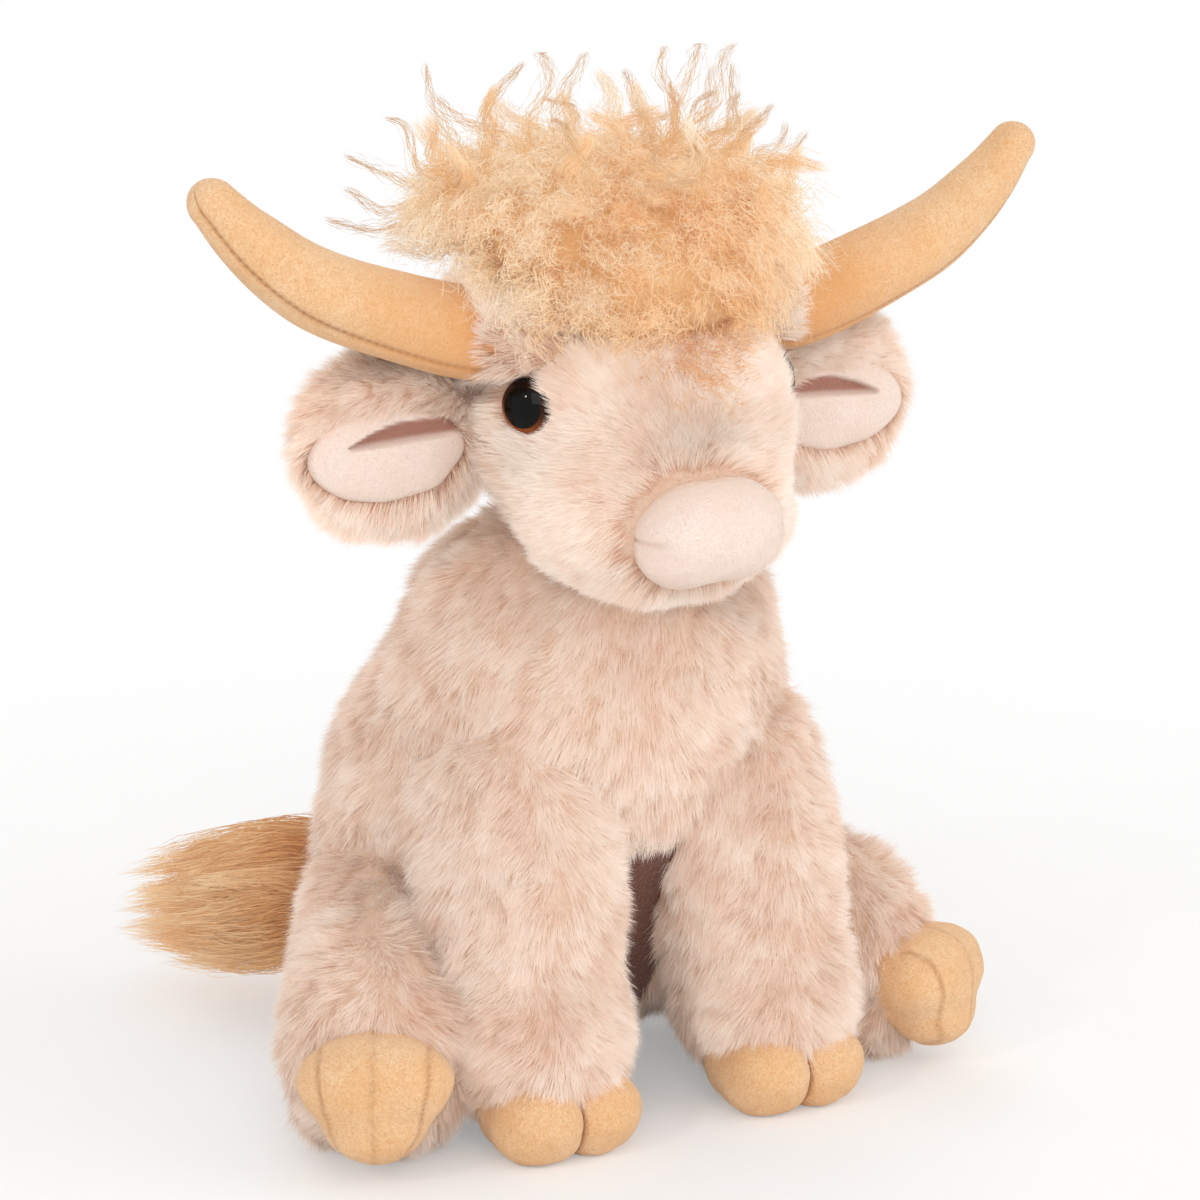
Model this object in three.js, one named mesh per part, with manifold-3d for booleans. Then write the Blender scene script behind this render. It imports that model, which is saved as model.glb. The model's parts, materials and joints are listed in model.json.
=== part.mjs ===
// A stuffed highland cow that sits on its rump: fur covers round polyester stuffing, velour horns, toes, nose
// and ear linings, a curly forelock, a tail with a tassel, and safety eyes locked by washers inside the head.
// Millimetres, +Z up. The cow faces -Y, so its right side is at -X.
// The origin is the middle of the bottom of the whole toy's box.
import * as THREE from "three";
import { mergeVertices } from "three/addons/utils/BufferGeometryUtils.js";
import Module from "manifold-3d";

const wasm = await Module();
wasm.setup();

// Clearances
const seamGap = 0.3; // between pieces that are sewn or pressed together
const swingGap = 0.6; // between pieces that swing past each other
const floorFlat = 0.5; // how deep the floor flattens each form that rests on it
const cutOverrun = 20; // how far a cutter runs past what it cuts

// Cloth walls
const furWall = 10; // long pile with its backing
const velourWall = 2.5; // short pile with its backing
const seamBlend = 5; // how softly two swellings of one form run together
const softBlend = 9; // the same where a form has no crease at all

// Body, a pear that sits on its wide end
const bodyWidth = 132;
const bodyDepth = 124;
const bodyHeight = 164;
const pouchRadius = 27; // of the pouch of pellets in the rump
const neckRadius = 27; // of the stuffed neck between body and head
const nodLimit = 8; // degrees each way
const headTurnLimit = 20; // degrees each way

// Head
const headWidth = 94;
const headDepth = 98;
const headHeight = 90;
const headLift = 45; // of the head's middle above the neck's
const headForward = 14; // of the head's middle in front of the neck's
const nosePadWidth = 45;
const nosePadHeight = 30;
const nosePadDepth = 26;

// Eyes
const eyeRadius = 7.5;
const eyeDome = 5.6; // height of the dome over its flat back
const eyeDepth = 7.6; // of the eye's back below the tips of the fur
const eyeShankRadius = 2;
const eyeShankLength = 9;
const washerRadius = 6;
const washerThickness = 1.5;

// Horns
const hornSpan = 72; // outwards from root to tip
const hornRise = 38; // upwards from root to tip
const hornRootRadius = 13;
const hornTipRadius = 6;
const hornSink = 12; // of the horn's path into the head before it is cut off

// Ears
const earLength = 54;
const earHeight = 52;
const earThickness = 20;
const earLiningThickness = 2;
const earCupDepth = 9;
const earFlapLimit = 15; // degrees each way

// Legs
const foreLegThickness = 59;
const foreLegHeight = 128;
const foreLegLimit = 25; // degrees forwards
const hindLegThickness = 49;
const hindLegLength = 104;
const hindLegHeight = 84;
const hindLegToeOut = 30; // degrees from straight ahead
const hindLegLimit = 20; // degrees outwards

// Toes
const foreToeWidth = 25;
const foreToeLength = 36;
const foreToeHeight = 23;
const hindToeWidth = 23.5;
const hindToeLength = 36;
const hindToeHeight = 35;

// Forelock and tail
const forelockWidth = 104;
const forelockDepth = 86;
const forelockHeight = 66;
const tailRadius = 8;
const tailReach = 58; // of the stuffed tail from the rump
const tasselLength = 62;
const tasselThickness = 46;
const tailTurn = 52; // degrees from straight back towards the cow's right
const tailLimit = 20; // degrees each way

// Facets
const bigFacets = { around: 24, along: 12 };
const innerFacets = { around: 12, along: 8 };
const limbFacets = { around: 16, along: 9 };
const limbInnerFacets = { around: 8, along: 6 };
const smallFacets = { around: 10, along: 6 };
const roundFacets = { around: 14, along: 5 };
const neckFacets = { around: 20, along: 7 };
const domeFacets = 6; // from the rim of an eye to its top

const RIGHT = -1;
const LEFT = 1;
const X_AXIS = new THREE.Vector3(1, 0, 0);
const Y_AXIS = new THREE.Vector3(0, 1, 0);
const Z_AXIS = new THREE.Vector3(0, 0, 1);
const degrees = THREE.MathUtils.degToRad;
const vec = (x, y, z) => new THREE.Vector3(x, y, z);

// A stuffed form is a soft union of ellipsoids, its lobes. Each lobe is written as shares of the form's own
// sizes: where its middle is, and its half sizes. The form stands at a place and may be turned there.
function form({
  sizes, lobeShares, place, turn = new THREE.Quaternion(), middleShare, pole = Z_AXIS, blend, side = 1,
}) {
  const flipped = sizes.clone().multiply(vec(side, 1, 1));
  const lobes = lobeShares.map(({ at, half }) => ({
    at: vec(...at).multiply(flipped),
    half: vec(...half).multiply(sizes),
  }));
  return { lobes, place, turn, middle: vec(...middleShare).multiply(flipped), pole, blend };
}

// Above 1 inside the form, 1 on its surface, below 1 outside. Growing a form grows each lobe's half sizes.
function fullness({ lobes, blend }, point, grow) {
  let sum = 0;
  for (const { at, half } of lobes) {
    const grown = half.clone().addScalar(grow);
    const reach = point.clone().sub(at).divide(grown).length();
    sum += Math.exp(((1 - reach) * Math.min(grown.x, grown.y, grown.z)) / blend);
  }
  return sum;
}

// How often a search halves its span
const halvings = 40;

// The distance from a form's middle to its surface along a direction, both in the form's own frame
function reachAlong(shape, direction, grow) {
  const farthest = ({ at, half }) => at.distanceTo(shape.middle) + 2 * half.length();
  let inside = 0;
  let outside = Math.max(...shape.lobes.map(farthest));
  for (let halving = 0; halving < halvings; halving++) {
    const mid = (inside + outside) / 2;
    const point = shape.middle.clone().addScaledVector(direction, mid);
    if (fullness(shape, point, grow) > 1) inside = mid;
    else outside = mid;
  }
  return inside;
}

// A form's middle in the toy's frame
const surfaceMiddle = (shape) => shape.middle.clone().applyQuaternion(shape.turn).add(shape.place);

// The point on a form's surface in a direction from its middle, in the toy's frame
function surfacePoint(shape, direction, grow = 0) {
  const local = direction.clone().applyQuaternion(shape.turn.clone().invert()).normalize();
  const point = shape.middle.clone().addScaledVector(local, reachAlong(shape, local, grow));
  return point.applyQuaternion(shape.turn).add(shape.place);
}

// A closed skin on a grid of directions: rings from pole to pole, with the last ring and column joined up
function ringSkin(rings, bottom, top) {
  const around = rings[0].length;
  const points = [bottom, ...rings.flat(), top];
  const index = [];
  const at = (ring, column) => 1 + ring * around + (column % around);
  for (let column = 0; column < around; column++) {
    index.push(0, at(0, column + 1), at(0, column));
    for (let ring = 0; ring + 1 < rings.length; ring++) {
      index.push(at(ring, column), at(ring, column + 1), at(ring + 1, column + 1));
      index.push(at(ring, column), at(ring + 1, column + 1), at(ring + 1, column));
    }
    index.push(at(rings.length - 1, column), at(rings.length - 1, column + 1), points.length - 1);
  }
  const geometry = new THREE.BufferGeometry().setFromPoints(points);
  geometry.setIndex(index);
  return geometry;
}

// The surface of a form, its rings crowded so that they lie evenly along a long one
function formGeometry(shape, grow, { around, along }) {
  const toPole = new THREE.Quaternion().setFromUnitVectors(Z_AXIS, shape.pole);
  const span = (axis) => reachAlong(shape, axis.clone().applyQuaternion(toPole), grow);
  const stretch = (span(Z_AXIS) + span(Z_AXIS.clone().negate())) / (span(X_AXIS) + span(Y_AXIS));
  const pointAt = (lift, swing) => {
    const ring = Math.cos(lift);
    const direction = vec(ring * Math.cos(swing), ring * Math.sin(swing), stretch * Math.sin(lift));
    direction.normalize().applyQuaternion(toPole);
    const point = shape.middle.clone().addScaledVector(direction, reachAlong(shape, direction, grow));
    return point.applyQuaternion(shape.turn).add(shape.place);
  };
  const rings = Array.from({ length: along - 1 }, (_, ring) =>
    Array.from({ length: around }, (_, column) =>
      pointAt(Math.PI * ((ring + 1) / along - 1 / 2), (2 * Math.PI * column) / around)));
  return ringSkin(rings, pointAt(-Math.PI / 2, 0), pointAt(Math.PI / 2, 0));
}

// A tube of changing radius along a curve, closed by a round dome at each end
function taperGeometry(curve, radiusAt, { around, along }, grow = 0) {
  const frames = curve.computeFrenetFrames(along, false);
  const ringAt = (centre, normal, binormal, radius) =>
    Array.from({ length: around }, (_, column) => {
      const swing = (2 * Math.PI * column) / around;
      const point = centre.clone().addScaledVector(normal, radius * Math.cos(swing));
      return point.addScaledVector(binormal, radius * Math.sin(swing));
    });
  const rings = [];
  const domeRings = 3;
  const dome = (step, sign, lift) => {
    const radius = radiusAt(step / along) + grow;
    const centre = curve.getPointAt(step / along);
    centre.addScaledVector(frames.tangents[step], sign * radius * Math.sin(lift));
    return ringAt(centre, frames.normals[step], frames.binormals[step], radius * Math.cos(lift));
  };
  const domeLift = (ring) => (ring / domeRings) * (Math.PI / 2);
  for (let ring = domeRings - 1; ring > 0; ring--) rings.push(dome(0, -1, domeLift(ring)));
  for (let step = 0; step <= along; step++) rings.push(dome(step, 1, 0));
  for (let ring = 1; ring < domeRings; ring++) rings.push(dome(along, 1, domeLift(ring)));
  const cap = (step, sign) => curve.getPointAt(step / along)
    .addScaledVector(frames.tangents[step], sign * (radiusAt(step / along) + grow));
  return ringSkin(rings, cap(0, -1), cap(along, 1));
}

// Solids for joining and cutting
function solid(geometry) {
  const bare = geometry.clone();
  bare.deleteAttribute("normal");
  bare.deleteAttribute("uv");
  const merged = mergeVertices(bare);
  const vertProperties = Float32Array.from(merged.attributes.position.array);
  const triVerts = Uint32Array.from(merged.index.array);
  return new wasm.Manifold(new wasm.Mesh({ numProp: 3, vertProperties, triVerts }));
}

const formSolid = (shape, grow, facets) => solid(formGeometry(shape, grow, facets));

function ballSolid(centre, radius, { around, along } = roundFacets) {
  return solid(new THREE.SphereGeometry(radius, around, 2 * along).translate(centre.x, centre.y, centre.z));
}

// How near its middle a ball's flats come, as a share of its radius
const flatShare = ({ around, along }) => Math.cos(Math.PI / around) * Math.cos(Math.PI / (4 * along));

// A solid turned about an axis through a pivot
function turned(piece, pivot, axis, angle) {
  const matrix = new THREE.Matrix4().makeTranslation(pivot.x, pivot.y, pivot.z)
    .multiply(new THREE.Matrix4().makeRotationAxis(axis, angle))
    .multiply(new THREE.Matrix4().makeTranslation(-pivot.x, -pivot.y, -pivot.z));
  return piece.transform(matrix.elements);
}

// Cuts from a piece all that a fixed neighbour would touch at each of the angles, in degrees, of its swing
function clearedSwing(piece, neighbour, pivot, axis, angles) {
  const cut = (rest, angle) => rest.subtract(turned(neighbour, pivot, axis, -degrees(angle)));
  return angles.reduce(cut, piece);
}

// Everything below the floor, and the sliver that it flattens
const floorReach = bodyDepth + hornSpan + headWidth;
const floorSlab = solid(new THREE.BoxGeometry(2 * floorReach, 2 * floorReach, floorReach)
  .translate(0, 0, floorFlat - floorReach / 2));
const onFloor = (piece) => piece.subtract(floorSlab);

// Only the largest separate lump, so that a cut leaves no crumbs behind
function largestLump(piece) {
  const lumps = piece.decompose();
  return lumps.reduce((best, lump) => (lump.volume() > best.volume() ? lump : best));
}

function toGeometry(piece) {
  const { vertProperties, triVerts, numProp } = largestLump(piece).getMesh();
  const positions = new Float32Array((vertProperties.length / numProp) * 3);
  for (let vertex = 0; vertex < positions.length / 3; vertex++) {
    const start = vertex * numProp;
    positions.set(vertProperties.subarray(start, start + 3), vertex * 3);
  }
  const geometry = new THREE.BufferGeometry();
  geometry.setAttribute("position", new THREE.BufferAttribute(positions, 3));
  geometry.setIndex([...triVerts]);
  geometry.computeVertexNormals();
  return geometry;
}

// Colours and finishes from the photograph
const cloth = (color, roughness) => new THREE.MeshStandardMaterial({ color, roughness, metalness: 0 });
const finishes = {
  fur: cloth("#e2cbba", 0.95),
  golden: cloth("#eebe82", 0.9),
  pink: cloth("#f6dcd0", 0.9),
  curls: cloth("#e8b982", 0.95),
  tassel: cloth("#d2a069", 0.95),
  stuffing: cloth("#f4f2ee", 1),
  pouch: cloth("#ddd6ca", 0.9),
  eye: new THREE.MeshStandardMaterial({ color: "#120b08", roughness: 0.08, metalness: 0 }),
  washer: new THREE.MeshStandardMaterial({ color: "#e9e9e4", roughness: 0.4, metalness: 0 }),
};

// A sub-assembly hangs on a group at its joint's pivot, so that turning the group turns it about that joint
const cow = new THREE.Group();
function assembly(pivot, parent = cow, parentPivot = vec(0, 0, 0)) {
  const group = new THREE.Group();
  group.position.copy(pivot).sub(parentPivot);
  parent.add(group);
  const add = (name, piece, material) => {
    const mesh = new THREE.Mesh(toGeometry(piece).translate(-pivot.x, -pivot.y, -pivot.z), material);
    mesh.name = name;
    group.add(mesh);
  };
  return { group, add };
}
const sideName = (side) => (side === RIGHT ? "right" : "left");
const sweep = (limit) => [-limit, 0, limit];
const sweepSteps = 6;
const outwardSweep = (limit) =>
  Array.from({ length: sweepSteps + 1 }, (_, step) => (step / sweepSteps) * limit);

// The body
const bodySizes = vec(bodyWidth, bodyDepth, bodyHeight);
const bodyLobeShares = [
  { at: [0, -0.14, 0.91], half: [0.27, 0.27, 0.11] },
  { at: [0, -0.16, 0.73], half: [0.39, 0.36, 0.25] },
  { at: [0, 0.02, 0.56], half: [0.46, 0.43, 0.28] },
  { at: [0, 0.11, 0.345], half: [0.5, 0.42, 0.345] },
];
const bodyForm = form({
  sizes: bodySizes, lobeShares: bodyLobeShares, place: vec(0, 0, 0),
  middleShare: [0, 0, 0.5], blend: softBlend,
});
const bodyOuter = formSolid(bodyForm, 0, bigFacets);
const bodyBlocker = formSolid(bodyForm, swingGap, bigFacets);

// The neck, a stuffed ball that sits half in the body and half in the head. Its room is wide enough for its
// corners to pass the room's flats.
const neckSeatShares = [0, -0.16, 0.91];
const neckPivot = vec(...neckSeatShares).multiply(bodySizes);
const neckRoom = ballSolid(neckPivot, (neckRadius + seamGap) / flatShare(neckFacets), neckFacets);

// The pouch of pellets that weighs the rump down
const pouchSeatShares = [0, 0.06, 0.16];
const pouchCentre = vec(...pouchSeatShares).multiply(bodySizes).add(vec(0, 0, furWall));
const bodyInner = formSolid(bodyForm, -furWall, innerFacets);
const bodyFilling = formSolid(bodyForm, -furWall - seamGap, innerFacets);

// The tail's path: out of the rump, turned to the cow's right and sagging towards its tassel
const tailSeatShares = [-0.03, 0.47, 0.27];
const tailPivot = vec(...tailSeatShares).multiply(bodySizes);
const tailRoot = tailRadius * 2; // how deep the tail's path starts inside the rump
const tailSag = tailRadius * 1.2;
const tailHeading = vec(-Math.sin(degrees(tailTurn)), Math.cos(degrees(tailTurn)), 0);
const tailCurve = new THREE.QuadraticBezierCurve3(
  tailPivot.clone().addScaledVector(tailHeading, -tailRoot),
  tailPivot.clone().addScaledVector(tailHeading, tailReach / 2),
  tailPivot.clone().addScaledVector(tailHeading, tailReach).add(vec(0, 0, -tailSag)),
);
const tailFacets = { around: 10, along: 5 };
const tailTaperShare = 0.75;
const tailRadiusAt = (share) => tailRadius * (1 + (tailTaperShare - 1) * share);
const tailSkin = taperGeometry(tailCurve, tailRadiusAt, tailFacets);
const tailBlocker = solid(taperGeometry(tailCurve, tailRadiusAt, tailFacets, seamGap));

const legPivot = (legForm, legSizes, pivotShares) =>
  vec(...pivotShares).multiply(legSizes).applyQuaternion(legForm.turn).add(legForm.place);

// The front legs stand on the floor in front of the body
const foreLegSizes = vec(foreLegThickness, foreLegThickness, foreLegHeight);
const foreLegLobeShares = [
  { at: [-0.06, 0.24, 0.74], half: [0.46, 0.48, 0.22] },
  { at: [-0.02, 0.06, 0.5], half: [0.48, 0.48, 0.26] },
  { at: [0.02, -0.12, 0.22], half: [0.45, 0.47, 0.2] },
];
const foreLegSeatShares = [0.272, -0.34, 0];
const foreLegPivotShares = [0, 0.2, 0.8];
const foreLegForm = (side) => form({
  sizes: foreLegSizes, lobeShares: foreLegLobeShares, side, middleShare: [0, 0, 0.5], blend: softBlend,
  place: vec(...foreLegSeatShares).multiply(bodySizes).multiply(vec(side, 1, 1)),
});

// The hind legs lie on the floor and point forwards and outwards
const hindLegSizes = vec(hindLegThickness, hindLegLength, hindLegHeight);
const hindLegLobeShares = [
  { at: [0, 0, 0.49], half: [0.52, 0.33, 0.46] },
  { at: [0, -0.3, 0.36], half: [0.48, 0.27, 0.33] },
  { at: [0, -0.5, 0.31], half: [0.45, 0.18, 0.3] },
];
const hindLegSeatShares = [0.395, 0.05, 0];
const hindLegPivotShares = [0, 0, 0.5];
const hindLegForm = (side) => form({
  sizes: hindLegSizes, lobeShares: hindLegLobeShares, side, middleShare: [0, -0.25, 0.4], blend: softBlend,
  place: vec(...hindLegSeatShares).multiply(bodySizes).multiply(vec(side, 1, 1)),
  turn: new THREE.Quaternion().setFromAxisAngle(Z_AXIS, side * degrees(hindLegToeOut)), pole: Y_AXIS,
});

// A cloven foot's toes: two plump velour lobes side by side, cut where they meet the leg's fur
const toeLobeShares = [
  { at: [0, -0.12, 0], half: [0.46, 0.36, 0.46] },
  { at: [0, 0.2, 0.04], half: [0.42, 0.3, 0.42] },
];
const toeSpreadShare = 0.4; // of a toe's width, from the foot's middle to the toe's
function addToes(leg, legForm, name, toeSizes, seatShares, legSizes) {
  const legBlocker = formSolid(legForm, seamGap, limbFacets);
  const foot = vec(...seatShares).multiply(legSizes);
  const inFrame = (point) => point.applyQuaternion(legForm.turn).add(legForm.place);
  for (const toeSide of [RIGHT, LEFT]) {
    const seat = inFrame(foot.clone().add(vec(toeSide * toeSizes.x * toeSpreadShare, 0, 0)));
    const toeForm = form({
      sizes: toeSizes, lobeShares: toeLobeShares, place: seat, turn: legForm.turn,
      middleShare: [0, 0, 0], pole: Y_AXIS, blend: seamBlend / 2,
    });
    const middle = inFrame(foot.clone().add(vec(-toeSide * (toeSizes.x - seamGap / 2), 0, 0)));
    const otherToe = solid(new THREE.BoxGeometry(2 * toeSizes.x, 2 * toeSizes.y, 2 * toeSizes.z)
      .applyQuaternion(legForm.turn).translate(middle.x, middle.y, middle.z));
    const toe = formSolid(toeForm, 0, smallFacets).subtract(legBlocker).subtract(otherToe);
    leg.add(`${name}_${toeSide === RIGHT ? "right" : "left"}_toe`, onFloor(toe), finishes.golden);
  }
}

// A leg: a fur cover open towards the body, its stuffing, and two toes. It swings clear of the body and of
// what its trim cuts away.
function addLeg({ name, legForm, legSizes, pivot, axis, angles, trim, toeSizes, toeSeatShares }) {
  const leg = assembly(pivot);
  const cleared = (piece) => trim(clearedSwing(onFloor(piece), bodyBlocker, pivot, axis, angles));
  const cover = formSolid(legForm, 0, limbFacets).subtract(formSolid(legForm, -furWall, limbInnerFacets));
  const filling = formSolid(legForm, -furWall - seamGap, limbInnerFacets);
  leg.add(`${name}_cover`, cleared(cover), finishes.fur);
  leg.add(`${name}_stuffing`, cleared(filling), finishes.stuffing);
  addToes(leg, legForm, name, toeSizes, toeSeatShares, legSizes);
}

const foreToeSizes = vec(foreToeWidth, foreToeLength, foreToeHeight);
const hindToeSizes = vec(hindToeWidth, hindToeLength, hindToeHeight);
const foreToeSeatShares = [0, -0.29, 0.085];
const hindToeSeatShares = [0, -0.67, 0.28];
for (const side of [RIGHT, LEFT]) {
  const foreForm = foreLegForm(side);
  const forePivot = legPivot(foreForm, foreLegSizes, foreLegPivotShares);
  const foreAngles = outwardSweep(-foreLegLimit);
  addLeg({
    name: `fore_leg_${sideName(side)}`, legForm: foreForm, legSizes: foreLegSizes, pivot: forePivot,
    axis: X_AXIS, angles: foreAngles, trim: (piece) => piece,
    toeSizes: foreToeSizes, toeSeatShares: foreToeSeatShares,
  });
  const hindForm = hindLegForm(side);
  const hindPivot = legPivot(hindForm, hindLegSizes, hindLegPivotShares);
  const hindAngles = outwardSweep(side * hindLegLimit);
  // The front leg passes the hind leg whichever of the two swings
  const foreBlocker = formSolid(foreForm, swingGap, limbFacets);
  const passing = foreAngles.map((angle) => turned(foreBlocker, forePivot, X_AXIS, degrees(angle)));
  const trim = (piece) => passing.reduce((rest, blocker) => rest.subtract(blocker),
    clearedSwing(piece, foreBlocker, hindPivot, Z_AXIS, hindAngles));
  addLeg({
    name: `hind_leg_${sideName(side)}`, legForm: hindForm, legSizes: hindLegSizes, pivot: hindPivot,
    axis: Z_AXIS, angles: hindAngles, trim, toeSizes: hindToeSizes, toeSeatShares: hindToeSeatShares,
  });
}

// The head's form and what sits on it
const headSizes = vec(headWidth, headDepth, headHeight);
const headLobeShares = [
  { at: [0, 0.04, 0.01], half: [0.49, 0.43, 0.42] },
  { at: [0, -0.1, 0.02], half: [0.45, 0.39, 0.36] },
  { at: [0, -0.21, -0.29], half: [0.43, 0.3, 0.285] },
];
const headPlace = neckPivot.clone().add(vec(0, -headForward, headLift));
const headForm = form({
  sizes: headSizes, lobeShares: headLobeShares, place: headPlace,
  middleShare: [0, -0.08, -0.04], blend: seamBlend,
});
const headBlocker = formSolid(headForm, seamGap, bigFacets);
const headSwingBlocker = formSolid(headForm, swingGap, bigFacets);
const headPoint = (shares, side = 1) =>
  vec(...shares).multiply(headSizes).multiply(vec(side, 1, 1)).add(headPlace);

// The body that the head must clear at every mix of its nod and turn
const clearedNeck = (piece) => sweep(nodLimit).reduce((rest, nod) => {
  const nodded = turned(bodyBlocker, neckPivot, X_AXIS, -degrees(nod));
  return clearedSwing(rest, nodded, neckPivot, Z_AXIS, sweep(headTurnLimit));
}, piece);

// Each eye: a dome with a shank, a socket in the fur for it, and a washer that locks it from inside
const eyeSeatShares = [0.376, -0.162, 0.071];
const eyeFacing = 58; // degrees from straight ahead
const eyeFlare = 3; // how much wider the fur's socket is at the tips than at the eye
const washerRelief = 1; // how far inside the wall the washer's flat seat lies
const lathe = (outline, segments = roundFacets.around) =>
  new THREE.LatheGeometry(outline.map(([radius, height]) => new THREE.Vector2(radius, height)), segments)
    .rotateX(Math.PI / 2);
const domeOutline = Array.from({ length: domeFacets }, (_, step) => {
  const lift = (step / domeFacets) * (Math.PI / 2);
  return [eyeRadius * Math.cos(lift), eyeDome * Math.sin(lift)];
});
domeOutline.push([0, eyeDome]);
const washerTop = -(furWall - eyeDepth + washerRelief);
function eyePieces(side) {
  const fromMiddle = headPoint(eyeSeatShares, side).sub(surfaceMiddle(headForm));
  const seat = surfacePoint(headForm, fromMiddle, -eyeDepth);
  const facing = vec(side * Math.sin(degrees(eyeFacing)), -Math.cos(degrees(eyeFacing)), 0);
  const facingTurn = new THREE.Quaternion().setFromUnitVectors(Z_AXIS, facing);
  const stand = (geometry) => solid(geometry.applyQuaternion(facingTurn).translate(seat.x, seat.y, seat.z));
  const ring = (inner, outer, low, high) =>
    lathe([[inner, low], [outer, low], [outer, high], [inner, high], [inner, low]]);
  const rod = (radius, low, high) => lathe([[0, low], [radius, low], [radius, high], [0, high]]);
  const shankOutline = [[0, -eyeShankLength], [eyeShankRadius, -eyeShankLength], [eyeShankRadius, 0]];
  const rimRadius = eyeRadius + eyeFlare;
  const outside = eyeDome + cutOverrun;
  return {
    eye: stand(lathe([...shankOutline, ...domeOutline])),
    washer: stand(ring(eyeShankRadius + seamGap, washerRadius, washerTop - washerThickness, washerTop)),
    socket: stand(lathe([[0, -seamGap], [eyeRadius + seamGap, -seamGap], [rimRadius, eyeDepth],
      [rimRadius, outside], [0, outside]])),
    bore: stand(rod(eyeShankRadius + seamGap, -eyeShankLength - cutOverrun, cutOverrun)),
    shankRoom: stand(rod(eyeShankRadius + seamGap, -eyeShankLength - seamGap, cutOverrun)),
    washerSeat: stand(rod(washerRadius + seamGap, washerTop - cutOverrun, washerTop + seamGap)),
    washerRoom: stand(rod(washerRadius + seamGap, washerTop - washerThickness - seamGap, cutOverrun)),
  };
}
// Each horn sweeps out and up from the side of the skull
const hornSeatShares = [0.53, -0.07, 0.29];
const hornPathShares = [[0.32, 0.17], [0.64, 0.42], [0.88, 0.76], [1, 1]];
const hornRadiusShares = [1, 0.86, 0.76, 0.66, 0.4, 0];
const hornFacets = { around: 12, along: 7 };
function hornCurve(side) {
  const seat = headPoint(hornSeatShares, side);
  const outAndUp = ([out, up]) => seat.clone().add(vec(side * out * hornSpan, 0, up * hornRise));
  const root = seat.clone().add(vec(-side * hornSink, 0, 0));
  return new THREE.CatmullRomCurve3([root, seat, ...hornPathShares.map(outAndUp)]);
}
function hornRadiusAt(share) {
  const step = share * (hornRadiusShares.length - 1);
  const before = Math.min(Math.floor(step), hornRadiusShares.length - 2);
  const mix = THREE.MathUtils.lerp(hornRadiusShares[before], hornRadiusShares[before + 1], step - before);
  return THREE.MathUtils.lerp(hornTipRadius, hornRootRadius, mix);
}
const hornSolid = (side, grow) => solid(taperGeometry(hornCurve(side), hornRadiusAt, hornFacets, grow));

// Each ear: a round fur flap on the side of the head, cupped towards the front and lined with velour
const earSizes = vec(earLength, earThickness, earHeight);
const earSeatShares = [0.475, 0.06, -0.03];
const earLobeShares = [
  { at: [0.5, 0, 0], half: [0.46, 0.42, 0.47] },
  { at: [0.22, 0.04, -0.04], half: [0.3, 0.4, 0.34] },
];
const earCupShares = [{ at: [0.5, -0.6, -0.04], half: [0.39, 1.1, 0.35] }];
const earForms = (side) => {
  const place = headPoint(earSeatShares, side);
  const cupSizes = vec(earLength, earCupDepth, earHeight);
  return {
    flap: form({
      sizes: earSizes, lobeShares: earLobeShares, place, side, middleShare: [0.45, 0, 0], blend: seamBlend,
    }),
    cup: form({
      sizes: cupSizes, lobeShares: earCupShares, place, side,
      middleShare: [0.5, -0.5, -0.06], blend: seamBlend,
    }),
  };
};

// The curly forelock, a loose cloud on top of the head
const forelockSizes = vec(forelockWidth, forelockDepth, forelockHeight);
const forelockLobeShares = [
  { at: [0, -0.1, 0.02], half: [0.44, 0.42, 0.36] },
  { at: [0, 0.06, 0.24], half: [0.36, 0.36, 0.26] },
  { at: [0, -0.3, -0.16], half: [0.3, 0.24, 0.3] },
];
const forelockSeatShares = [0, 0.03, 0.51];
const forelockForm = form({
  sizes: forelockSizes, lobeShares: forelockLobeShares, place: headPoint(forelockSeatShares),
  middleShare: [0, -0.06, 0.06], blend: seamBlend,
});

// The nose pad on the front of the muzzle
const nosePadSizes = vec(nosePadWidth, nosePadDepth, nosePadHeight);
const nosePadLobeShares = [
  { at: [0.14, 0, 0], half: [0.34, 0.48, 0.48] },
  { at: [-0.14, 0, 0], half: [0.34, 0.48, 0.48] },
];
const nosePadSeatShares = [0, -0.45, -0.28];
const nosePadForm = form({
  sizes: nosePadSizes, lobeShares: nosePadLobeShares, place: headPoint(nosePadSeatShares),
  middleShare: [0, 0, 0], pole: X_AXIS, blend: seamBlend / 2,
});

// The body's own pieces, in the toy's frame
const torso = assembly(vec(0, 0, 0));
torso.add("body_cover", onFloor(bodyOuter).subtract(bodyInner).subtract(neckRoom), finishes.fur);
torso.add("body_stuffing",
  bodyFilling.subtract(neckRoom).subtract(ballSolid(pouchCentre, pouchRadius + seamGap)), finishes.stuffing);
torso.add("pellet_pouch", ballSolid(pouchCentre, pouchRadius).intersect(bodyFilling), finishes.pouch);

// The neck and the head on it
const neck = assembly(neckPivot);
neck.add("neck_stuffing", ballSolid(neckPivot, neckRadius, neckFacets), finishes.stuffing);
const head = assembly(neckPivot, neck.group, neckPivot);
const eyes = [RIGHT, LEFT].map((side) => ({ side, ...eyePieces(side) }));
const headShell = formSolid(headForm, 0, bigFacets).subtract(formSolid(headForm, -furWall, innerFacets));
head.add("head_cover", eyes.reduce(
  (rest, { socket, bore, washerSeat }) => rest.subtract(socket).subtract(bore).subtract(washerSeat),
  clearedNeck(headShell).subtract(neckRoom)), finishes.fur);
const headFilling = formSolid(headForm, -furWall - seamGap, innerFacets);
head.add("head_stuffing", eyes.reduce(
  (rest, { shankRoom, washerRoom }) => rest.subtract(shankRoom).subtract(washerRoom),
  clearedNeck(headFilling).subtract(neckRoom)), finishes.stuffing);
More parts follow.
